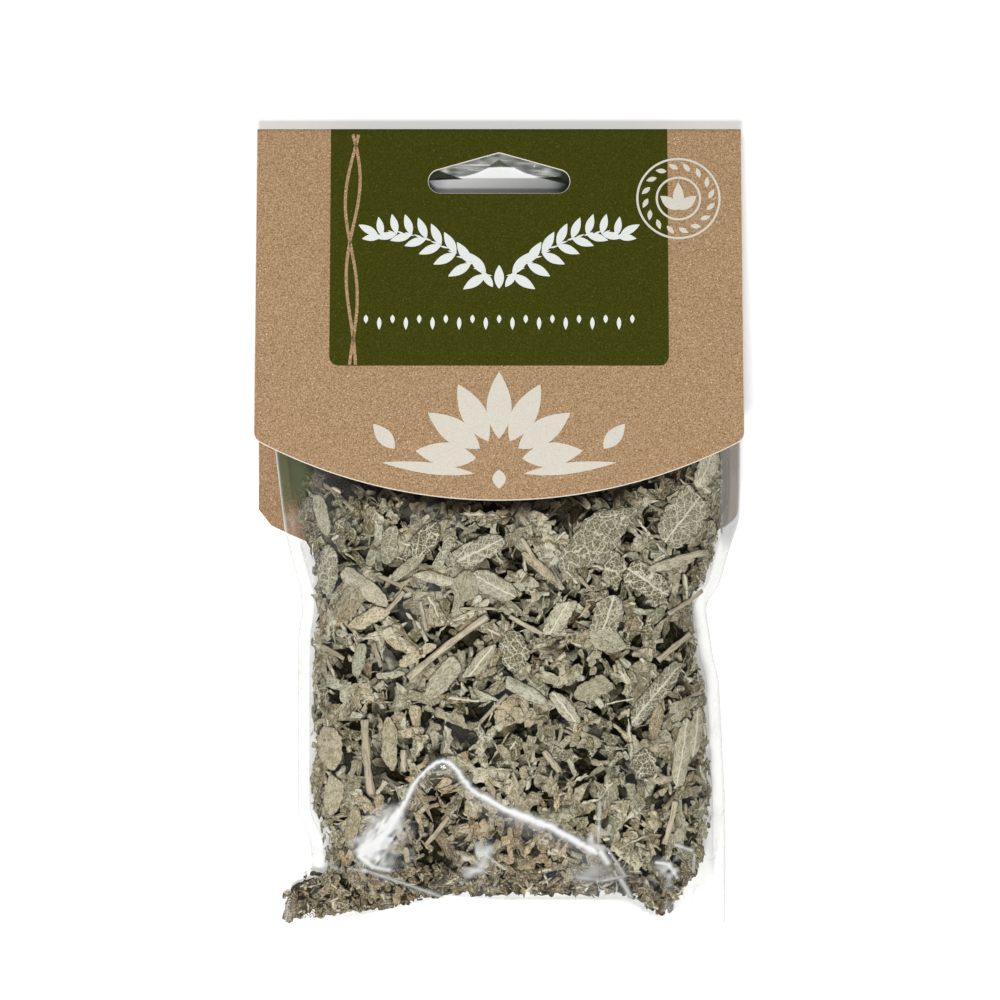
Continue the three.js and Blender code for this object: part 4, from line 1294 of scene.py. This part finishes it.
class Batch:
    """Collects pieces of one grid size that lie on one pile, either scraps and leaves or stalks,
    and makes them one object."""

    def __init__(self, name, pile, rows, columns, stalks=False):
        self.name, self.pile, self.stalks = name, pile, stalks
        self.rows, self.columns = rows, columns
        self.points, self.spots, self.blades, self.values = [], [], [], []

    def add(self, placed, flat, tone, hue, net=0.0, rib=0.0):
        """Takes in one placed piece, with its own colour and the place on its flat leaf."""
        count = self.rows * self.columns
        if self.stalks:
            rim = np.zeros((self.rows, self.columns))
            rim[[0, 1, -2, -1]] = 1
        else:
            rim = ring_mask(self.rows, self.columns, 1)
        blade = np.concatenate([flat.reshape(count, 2), np.full((count, 1), rib)], 1)
        self.points.append(placed.reshape(count, 3))
        self.blades.append(blade)
        self.spots.append(blade * (1, 1, 0) + rng.uniform(0, 400, 3))
        same = np.ones(count)
        # painted shade by depth under the film
        painted_shade = self.pile.painted_depth_shade(self.points[-1])
        # a dark outer ring on each scrap and leaf: a painted shadow under its edge
        if not self.stalks:
            painted_shade = np.maximum(painted_shade, 0.7 * ring_mask(self.rows, self.columns, 0).ravel())
        # pale edges: the cut ends of stalks; on leaves the crest, partly pale torn felt and partly a painted
        # highlight
        pale = rim.ravel() * (1 if self.stalks else rng.uniform(0.2, 1.0))
        self.values.append(np.stack([tone * same, hue * same, net * same, pale, painted_shade], 1))

    def finish(self, *nodes):
        """Adds painted shade on what lies below its surroundings and makes the mesh, in place of these
        nodes.
        """
        count = len(self.points)
        values = dict(zip(("tone", "hue", "net", "rim", "painted_shade"), np.concatenate(self.values).T))
        values |= {"spot": np.concatenate(self.spots), "blade": np.concatenate(self.blades)}
        points = np.concatenate(self.points)
        spot = self.pile.cells_at(points[:, 0], points[:, 1])
        # painted shade in hollows: how far each point lies below the smoothed pile
        painted_hollow_shade = self.pile.smoothed(4)[spot] - self.pile.sign * points[:, 2]
        painted_hollow_shade = smooth_step(0.2, 1.3, painted_hollow_shade / self.pile.scale[spot])
        values["painted_shade"] = np.maximum(values["painted_shade"], 0.92 * painted_hollow_shade)
        crest = np.tile(ring_mask(self.rows, self.columns, 1).ravel() > 0, count)
        quads = grid_quads(self.rows, self.columns, count, self.stalks)
        material, slot = (stalk, "sage_stem") if self.stalks else (leaf, "sage_leaf")
        sharp = None if self.stalks else crest
        obj = make_mesh(self.name, points, quads, material, values, sharp=sharp)
        belongs(obj, slot, *nodes)


def random_spot(low_y, high_y):
    """A random place between the herb's two sides."""
    y = rng.uniform(low_y, high_y)
    left, right = along(HERB_LEFT, y), along(HERB_RIGHT, y)
    return float(rng.uniform(left, right)), y


def edge_spot(width):
    """A random spot within width of the herb's outline."""
    while True:
        x, y = random_spot(-90.5, 12)
        if 0.3 < herb_margin(x, y) < width:
            return x, y


def size_at(x, y):
    """How large the scraps are: largest near the card, smaller under the arched crease."""
    size = np.interp(y, [-88, -76, -50, -25, -8, 10], [0.8, 0.9, 0.9, 0.95, 1.2, 1.25])
    return float(size * (0.9 if y < crease_y(x) - 1 else 1.0))


def colour_at(x, y, tone):
    """A random tone and hue: browner under the arched crease and, as a painted tint of shade, up by the
    card;
    darker at the bottom; painted light at the left side, painted shade at the right side and in the upper
    left corner."""
    under, neck = y < crease_y(x), below_card(x, y) < 3.5
    # browner up by the card: a painted tint of the shade there
    hue = np.clip(rng.normal(0.72 - 0.45 * under - 0.5 * neck, 0.26), 0, 1)
    if rng.random() < (0.15 if under else 0.02):
        hue = 0.0
    # painted shade in the upper left corner, by the card
    corner = smooth_step(-27, -34, x) * smooth_step(-12, -5, y)
    from_side = min(x - along(HERB_LEFT, y), along(HERB_RIGHT, y) - x)
    # painted light along the left side, painted shade along the right side
    lit = smooth_step(9, 2, from_side) * (0.08 if x < 0 else -0.26)
    return np.clip(rng.normal(*tone) + lit - 0.46 * (y < -76) - 1.0 * corner, 0, 1), hue


def scatter(batch, count, length, slim, low_y=-90, high_y=14, lean=0.22, curl=1.0, edge=0,
            settle=0.95, net_share=0.12, rib_share=0.08, torn=0.2, tone=(0.56, 0.36)):
    """Drops count scraps over the batch's pile, or only within edge of its outline; slim is the
    range of width over length."""
    for _ in range(count):
        x, y = edge_spot(edge) if edge else random_spot(low_y, high_y)
        piece_length = size_at(x, y) * rng.uniform(*length)
        piece_width = piece_length * rng.uniform(*slim)
        rolled = rng.random() < 0.16
        roll = rng.choice((-1, 1)) * rng.uniform(3, 5) if rolled else 1.4 * curl * rng.normal()
        shape, flat = scrap(
            batch.rows - 2, batch.columns - 2, piece_length, piece_width, roll,
            0.6 * curl * rng.normal(), torn, max(0, rng.uniform(-0.3, 0.6)),
        )
        yaw = rng.normal(0, 0.5) if edge and y > -78 else rng.uniform(0, 6.3)
        placed = batch.pile.drop(shape.reshape(-1, 3), x, y, yaw, rng.normal(0, lean, 2), settle)
        if placed is None:
            continue
        net = rng.uniform(0.5, 1) if rng.random() < net_share else rng.uniform(0, 0.12)
        own_tone, hue = colour_at(x, y, tone)
        batch.add(placed, flat, own_tone + 0.2 * rolled, hue, net, float(rng.random() < rib_share))


def twig(rows, sides, length, radius, bend):
    """A stalk: rings along a bent line, closed at both ends by rings of no width."""
    t = np.linspace(-1, 1, rows - 4)
    t = np.concatenate([[-1, -1], t, [1, 1]])
    size = np.ones(rows)
    size[[0, -1]] = 0.0
    size[[1, -2]] = 0.96
    turn = np.linspace(0, 2 * np.pi, sides, endpoint=False)[None]
    knots = 1 + 0.1 * np.sin(t * 7 + rng.uniform(0, 6)) + 0.05 * rng.normal(size=rows)
    r = (radius * size * knots)[:, None]
    x = r * np.cos(turn) + (bend * (1 - t * t))[:, None]
    z = r * np.sin(turn)
    y = (t * length / 2)[:, None] + 0 * turn
    return np.stack([x, y, z], -1), np.stack([turn * radius + 0 * y, y], -1)


def scatter_twigs(batch, count, length, radius, low_y=-86, high_y=30):
    """Drops count thin stalks over the batch's pile."""
    for _ in range(count):
        x, y = random_spot(low_y, high_y)
        twig_length = size_at(x, y) * rng.uniform(*length)
        twig_radius = rng.uniform(*radius)
        bend = rng.normal(0, 0.03) * twig_length
        shape, flat = twig(batch.rows, batch.columns, twig_length, twig_radius, bend)
        yaw = rng.uniform(0, 6.3)
        placed = batch.pile.drop(shape.reshape(-1, 3), x, y, yaw, rng.normal(0, 0.08, 2), 0.8)
        if placed is not None:
            batch.add(placed, flat, rng.uniform(0.1, 0.9), 0.3)


def bed_piece(name, pile):
    """The pile's inside, a dark sheet of painted shade: the height map before any piece was dropped."""
    step = 2
    x, y = MAP_X[::step], MAP_Y[::step]
    gx, gy = np.meshgrid(x, y, indexing="ij")
    points = np.stack([gx, gy, pile.sign * (pile.bed[::step, ::step] - 0.3)], -1)
    quads = grid_quads(len(x), len(y))
    ragged = 3.2 + 1.6 * value_noise(gx, gy, 3, 31)
    inside = (pile.open[::step, ::step] & (herb_margin(gx, gy) > ragged)).ravel()
    quads = quads[inside[quads].all(1)]
    obj = make_mesh(name, points.reshape(-1, 3), quads, bed)
    belongs(obj, "sage_leaf", "sage_pile")


# The larger leaves against the film: x, y, length, width, turn in degrees, net, tone, hue, curl,
# rib. The first twelve stand where the CAD model has its leaves.
LEAVES = [
    (21.4, -2.4, 19, 8.4, -43, 0.8, 0.5, 0.8, 0.5, 0), (41.4, 2.2, 13, 9, -38, 0.7, 0.6, 0.8, 0.7, 1),
    (47, 13.6, 9.6, 4.4, -24, 0.0, 0.95, 0.8, 0.8, 1),
    (-30.2, -13.3, 12.6, 4.2, 53, 0.1, 0.85, 0.7, 1.5, 0),
    (-16.4, -2.4, 8.8, 5, -43, 1.0, 0.45, 0.7, 0.6, 0),
    (-4.2, -4.7, 11.4, 5.2, -63, 0.8, 0.8, 0.9, 0.8, 1),
    (-1.4, -12.7, 11, 4.8, 62, 0.4, 0.75, 0.9, 0.8, 1),
    (3.3, -27.2, 8.6, 6.4, 20, 0.9, 0.5, 0.6, 0.5, 0), (33.4, -12, 11, 6, 56, 1.0, 0.5, 0.7, 0.6, 1),
    (24.3, -25.2, 8.4, 5, 76, 0.1, 0.6, 0.9, 0.4, 0),
    (35.2, -37.3, 16.4, 5.2, -41, 0.8, 0.6, 0.7, 2.0, 1),
    (-38.2, -49.6, 9.6, 6, 4, 0.2, 0.8, 0.5, 0.7, 0),
    (24.4, -19.4, 9.4, 6.4, -18, 0.7, 0.4, 0.8, 0.5, 1),
    (13.4, -20, 8.4, 4.4, -30, 0.0, 0.85, 0.8, 0.9, 1),
    (-12.6, -33.6, 10.5, 4.6, -40, 0.1, 0.7, 0.8, 1.0, 0),
    (-38.6, -9.5, 11, 4.6, -6, 0.8, 0.7, 0.9, 0.9, 0),
    (-29.4, -20.2, 8.6, 3.2, -60, 0.0, 0.95, 0.5, 1.0, 0),
    (-14.2, -11.2, 8.4, 2.8, 72, 0.0, 0.95, 0.8, 1.6, 0),
    (-7.6, -12.8, 6.5, 6, 10, 0.2, 0.5, 0.8, 0.3, 0), (26, -8.6, 6.6, 5.2, 20, 0.9, 0.5, 0.7, 0.5, 0),
    (-24.6, -3.6, 8.2, 3.8, -4, 0.6, 0.75, 0.8, 1.0, 0), (-40, 3, 9.5, 3.2, 14, 0.2, 0.6, 0.8, 1.2, 0),
    (-31.5, -29.5, 7.4, 2.8, -12, 0.1, 0.5, 1.0, 1.3, 0),
    (-37.5, -60.5, 8.5, 4.5, -12, 0.2, 0.8, 0.6, 1.0, 0),
    (41.4, -50.5, 15, 4.2, -10, 0.2, 0.9, 0.7, 1.5, 1), (44.6, -46, 11, 3, -6, 0.3, 0.95, 0.8, 1.4, 1),
    (32.6, -52.6, 6.2, 5, 0, 1.0, 0.45, 0.7, 0.4, 0), (-24.6, -48, 11, 3.6, -2, 0.1, 0.6, 0.5, 0.8, 0),
    (35.4, -43.2, 7.5, 2.8, -16, 0.3, 0.5, 0.1, 1.2, 0),
    (14.6, -40, 8.6, 3.4, 38, 0.1, 0.8, 0.9, 1.2, 1), (6, -36.6, 10.4, 3.2, 62, 0.1, 0.75, 1.0, 1.6, 0),
    (-4, -29.6, 9, 3.2, -38, 0.2, 0.75, 0.7, 1.1, 1), (21, -36, 8.4, 4.4, -64, 0.2, 0.55, 0.8, 0.8, 0),
    (-33.5, -16.5, 9, 5, -30, 0.3, 0.35, 0.2, 0.8, 0), (9, -8.6, 10, 2.4, 50, 0.0, 0.7, 0.4, 1.6, 0),
    (-33, -67, 9, 3, -14, 0.1, 0.6, 0.3, 1.0, 0), (38.6, -8, 11, 2.4, -76, 0.1, 0.85, 0.8, 1.2, 0),
    (-20.2, -8.4, 9, 2.6, -52, 0.4, 0.8, 0.8, 1.3, 0),
]
# The larger stalks: x, y, length, diameter, turn. The first seven are in the CAD model too.
STALKS = [
    (-11.5, -26.7, 22.6, 1.6, -52), (-29.5, -51.5, 17, 1.9, 5), (-21.5, -52.1, 4.8, 1.4, 0),
    (-14, -68.3, 8.4, 1.1, -38), (39.6, -26.8, 9.6, 1.3, -53), (42.4, -6.7, 10.4, 1.5, -76),
    (11.8, -52.2, 5.8, 1.5, 38), (-27.4, -28.4, 5.6, 1.1, 20), (42.2, -16.7, 9.5, 1.0, -57),
    (6, -21.6, 8.4, 1.1, 62), (-17, -19.6, 6.6, 0.9, 12), (-23.4, -16.4, 6, 1.1, -42),
    (7, -5.6, 8, 1.1, 30), (38.6, -66.4, 10, 1.4, -14), (-37.6, -28, 6, 1.0, 62),
]


def follow_film(local, x, y, turn, drop):
    """Turns local points about z, moves them to x and y and lays them under the film."""
    a = math.radians(turn)
    u, v, w = local[..., 0], local[..., 1], local[..., 2]
    px = x + u * math.cos(a) - v * math.sin(a)
    py = y + u * math.sin(a) + v * math.cos(a)
    return np.stack([px, py, front_z(px, py, top_depth(px, py)) - drop + w], -1)


def whole_leaf(rows, columns, length, width, curl):
    """A leaf or half leaf: half width width / 2 * (1 - |t| ** p) ** q with its own p and q, one end
    often torn off straight, rolled by curl about its length, with a wavy, ragged edge."""
    t = np.linspace(-1, 1, rows)[:, None]
    s = np.linspace(-1, 1, columns)[None]
    p, q = rng.uniform(1.8, 3.2), rng.uniform(0.5, 0.9)
    ends = rng.uniform(0.0, 0.3, 2)
    ends[rng.integers(2)] += rng.uniform(0, 0.5)
    half = (1 - np.abs(t) ** p) ** q
    half = half + np.where(t < 0, ends[0], ends[1]) * np.abs(t) ** p
    waves = rng.uniform(0, 6.3, 4)
    edge = 1 + 0.06 * np.sin(t * 6 + waves[0]) + 0.04 * np.sin(t * 17 + waves[1])
    edge = edge + 0.03 * rng.normal(size=(rows, 1))
    across = width / 2 * s * half * edge
    lengthwise = length / 2 * t + 0.6 * rng.normal() * across * np.abs(t) ** 3
    lengthwise = lengthwise + 0.3 * rng.uniform(-1, 0.3, (1, columns)) * np.abs(t) ** 12
    k = curl / width
    x = np.sin(across * k) / k
    z = (np.cos(across * k) - 1) / k - 0.3 * t**2
    z = z + 0.2 * np.sin(across * 1.3 + waves[2]) * np.sin(lengthwise * 0.8 + waves[3])
    z = z + 0.1 * value_noise(across + 50 * waves[0], lengthwise, 1.1, 31)
    flat = np.stack([across, lengthwise], -1)
    return with_rim(np.stack([x, lengthwise, z], -1), LEAF_EDGE), with_rim(flat, 0)


CAD_LEAVES, CAD_STALKS = 12, 7
LEAF_GRID, STALK_GRID = (44, 22), (26, 10)
front_pile = Pile(1, 7.0)
loose_leaves = Batch("loose_leaves", front_pile, *LEAF_GRID)
for number, (x, y, length, width, turn, net, tone, hue, curl, rib) in enumerate(LEAVES, 1):
    in_cad = number <= CAD_LEAVES
    batch = Batch(f"whole_leaf_{number}", front_pile, *LEAF_GRID) if in_cad else loose_leaves
    shape, flat = whole_leaf(batch.rows - 2, batch.columns - 2, length, width, curl)
    placed = follow_film(shape, x, y, turn, 0.0)
    front_pile.reserve(placed)
    batch.add(placed, flat, tone, hue, net, rib)
    if in_cad:
        batch.finish(f"sage_leaf_{number}")
loose_leaves.finish("sage_pile")
loose_stalks = Batch("loose_stalks", front_pile, *STALK_GRID, stalks=True)
for number, (x, y, length, diameter, turn) in enumerate(STALKS, 1):
    in_cad = number <= CAD_STALKS
    batch = Batch(f"whole_stalk_{number}", front_pile, *STALK_GRID, stalks=True) if in_cad else loose_stalks
    shape, flat = twig(*STALK_GRID, length, diameter / 2, 0.02 * length * rng.normal())
    placed = follow_film(shape, x, y, turn, diameter / 2)
    front_pile.reserve(placed)
    batch.add(placed, flat, rng.uniform(0.6, 1.0) + 0.4 * (x > 38), 0.3)
    if in_cad:
        batch.finish(f"sage_stem_{number}")
loose_stalks.finish("sage_pile")

medium = Batch("sage_scraps", front_pile, 10, 8)
small = Batch("sage_small_scraps", front_pile, 7, 6)
large = Batch("sage_large_scraps", front_pile, 15, 10)
sticks = Batch("sage_twigs", front_pile, 14, 7, stalks=True)

scatter(medium, 900, (4, 9), (0.35, 0.75), lean=0.4)
scatter(small, 400, (1.8, 3.6), (0.5, 1.0), lean=0.5)
scatter(small, 700, (1.4, 3.6), (0.5, 1.0), lean=0.3, edge=4)
scatter_twigs(sticks, 40, (4, 12), (0.35, 0.7))
scatter(medium, 500, (3, 6), (0.3, 0.6), lean=0.3, edge=5)
scatter(small, 900, (2, 5), (0.5, 1.0), low_y=-91, high_y=-77, lean=0.3, curl=0.8)
scatter(large, 320, (8, 14), (0.3, 0.6), low_y=-74, lean=0.3, curl=1.2)
scatter(small, 500, (1.8, 3.4), (0.5, 1.0), lean=0.5)
scatter(medium, 700, (4.5, 9), (0.3, 0.7), lean=0.35)
scatter(small, 500, (1.6, 3.4), (0.5, 1.0), lean=0.5)
scatter_twigs(sticks, 70, (3, 10), (0.3, 0.6))
scatter(large, 260, (8, 13), (0.25, 0.5), low_y=-74, lean=0.2, curl=1.3, net_share=0.25, tone=(0.68, 0.36))
scatter(medium, 800, (4, 8.5), (0.3, 0.7), lean=0.25, curl=1.1, tone=(0.68, 0.36))
scatter(medium, 170, (4.5, 9), (0.35, 0.7), low_y=-89, high_y=-77, lean=0.1, curl=0.4)
scatter(medium, 350, (3, 7), (0.35, 0.75), low_y=-80, high_y=-56, lean=0.3, tone=(0.74, 0.36))
scatter(small, 900, (1.2, 3.0), (0.5, 1.0), lean=0.5)
scatter(small, 400, (1.0, 2.2), (0.5, 1.0), lean=0.5, edge=3)
scatter(medium, 420, (4, 9), (0.4, 0.8), low_y=10, high_y=42, lean=0.35)
scatter(large, 60, (8, 13), (0.3, 0.6), low_y=16, high_y=40, lean=0.3, curl=1.2)
for batch in (medium, small, large, sticks):
    batch.finish("sage_pile")
bed_piece("pile_inside_front", front_pile)

back_pile = Pile(-1, 3.5)
back_medium = Batch("sage_scraps_back", back_pile, 7, 6)
back_sticks = Batch("sage_twigs_back", back_pile, 10, 6, stalks=True)
scatter(back_medium, 1700, (4.5, 9), (0.35, 0.7), lean=0.25)
scatter_twigs(back_sticks, 60, (5, 12), (0.4, 0.7))
scatter(back_medium, 900, (3, 6), (0.35, 0.8), lean=0.2)
scatter(back_medium, 450, (4, 8), (0.35, 0.8), low_y=6, high_y=42, lean=0.25)
scatter(back_medium, 700, (4, 8), (0.4, 0.8), lean=0.15)
for batch in (back_medium, back_sticks):
    batch.finish("sage_pile")
bed_piece("pile_inside_back", back_pile)

# ---------- CAD pieces that stay ----------

for name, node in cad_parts.items():
    if name.startswith("glue"):
        node.data.materials.clear()
        node.data.materials.append(glue)

# ---------- stage, light and camera ----------


def flat_build(s):
    """Matt white that gives off a little light of its own, so that it stays white in a shadow."""
    white = (0.93, 0.93, 0.93, 1.0)
    return surface(s, white, 0.9, specular_ior_level=0.0, emission_color=white, emission_strength=0.36)


floor_size = 1500.0
floor = make_mesh("floor", [
    (-floor_size, -floor_size, -0.02), (floor_size, -floor_size, -0.02),
    (floor_size, floor_size, -0.02), (-floor_size, floor_size, -0.02),
], [(0, 1, 2, 3)], start_material("white floor", flat_build), smooth=False)
floor.visible_glossy = False  # a white floor's reflection would wash out the film's slopes

scene = bpy.context.scene
world = bpy.data.worlds.new("studio")
scene.world = world
world.use_nodes = True
world.node_tree.nodes["Background"].inputs["Color"].default_value = (1.0, 1.0, 1.0, 1.0)
SKY_STRENGTH, SKY_IN_REFLECTIONS = 0.22, 0.12
is_glossy_ray = Socket(world.node_tree, None).node("ShaderNodeLightPath", output=3)
world.node_tree.links.new(
    is_glossy_ray.ramp(0.0, 1.0, SKY_STRENGTH, SKY_IN_REFLECTIONS).socket,
    world.node_tree.nodes["Background"].inputs["Strength"],
)


def area_light(name, position, target, size, power, **visibility):
    """A rectangular light; visibility says which kinds of ray don't see it."""
    light = bpy.data.lights.new(name, "AREA")
    light.shape = "RECTANGLE"
    light.size, light.size_y = size[0] * MM, size[1] * MM
    light.energy = power
    obj = bpy.data.objects.new(name, light)
    scene.collection.objects.link(obj)
    eye, aim = np.array(position) * MM, np.array(target) * MM
    obj.location = eye
    direction = aim - eye
    yaw = math.atan2(direction[1], direction[0]) - math.pi / 2
    pitch = math.atan2(math.hypot(direction[0], direction[1]), -direction[2])
    obj.rotation_euler = (pitch, 0, yaw)
    for key, value in visibility.items():
        setattr(obj, key, value)


area_light("key", (-25, -235, 960), (0, 0, 10), (150, 120), 6.4, visible_glossy=False)
area_light("side", (-300, 200, 900), (0, 0, 10), (160, 130), 1.4, visible_glossy=False)
area_light("glints", (-150, -700, 800), (0, 0, 10), (220, 160), 3.0, visible_diffuse=False)

CAMERA = (0.2, 6.4, 1150.0)
SENSOR = 36.0
VIEW_WIDTH = 225.0  # across the picture at CARD_LEVEL
CARD_LEVEL = 20.0
camera_data = bpy.data.cameras.new("camera")
camera_data.sensor_width = SENSOR
camera_data.lens = SENSOR * (CAMERA[2] - CARD_LEVEL) / VIEW_WIDTH
camera_data.clip_start, camera_data.clip_end = 0.05, 10.0
camera = bpy.data.objects.new("camera", camera_data)
camera.location = np.array(CAMERA) * MM
scene.collection.objects.link(camera)
scene.camera = camera
scene.view_settings.view_transform = "Standard"
scene.cycles.transparent_max_bounces = 24
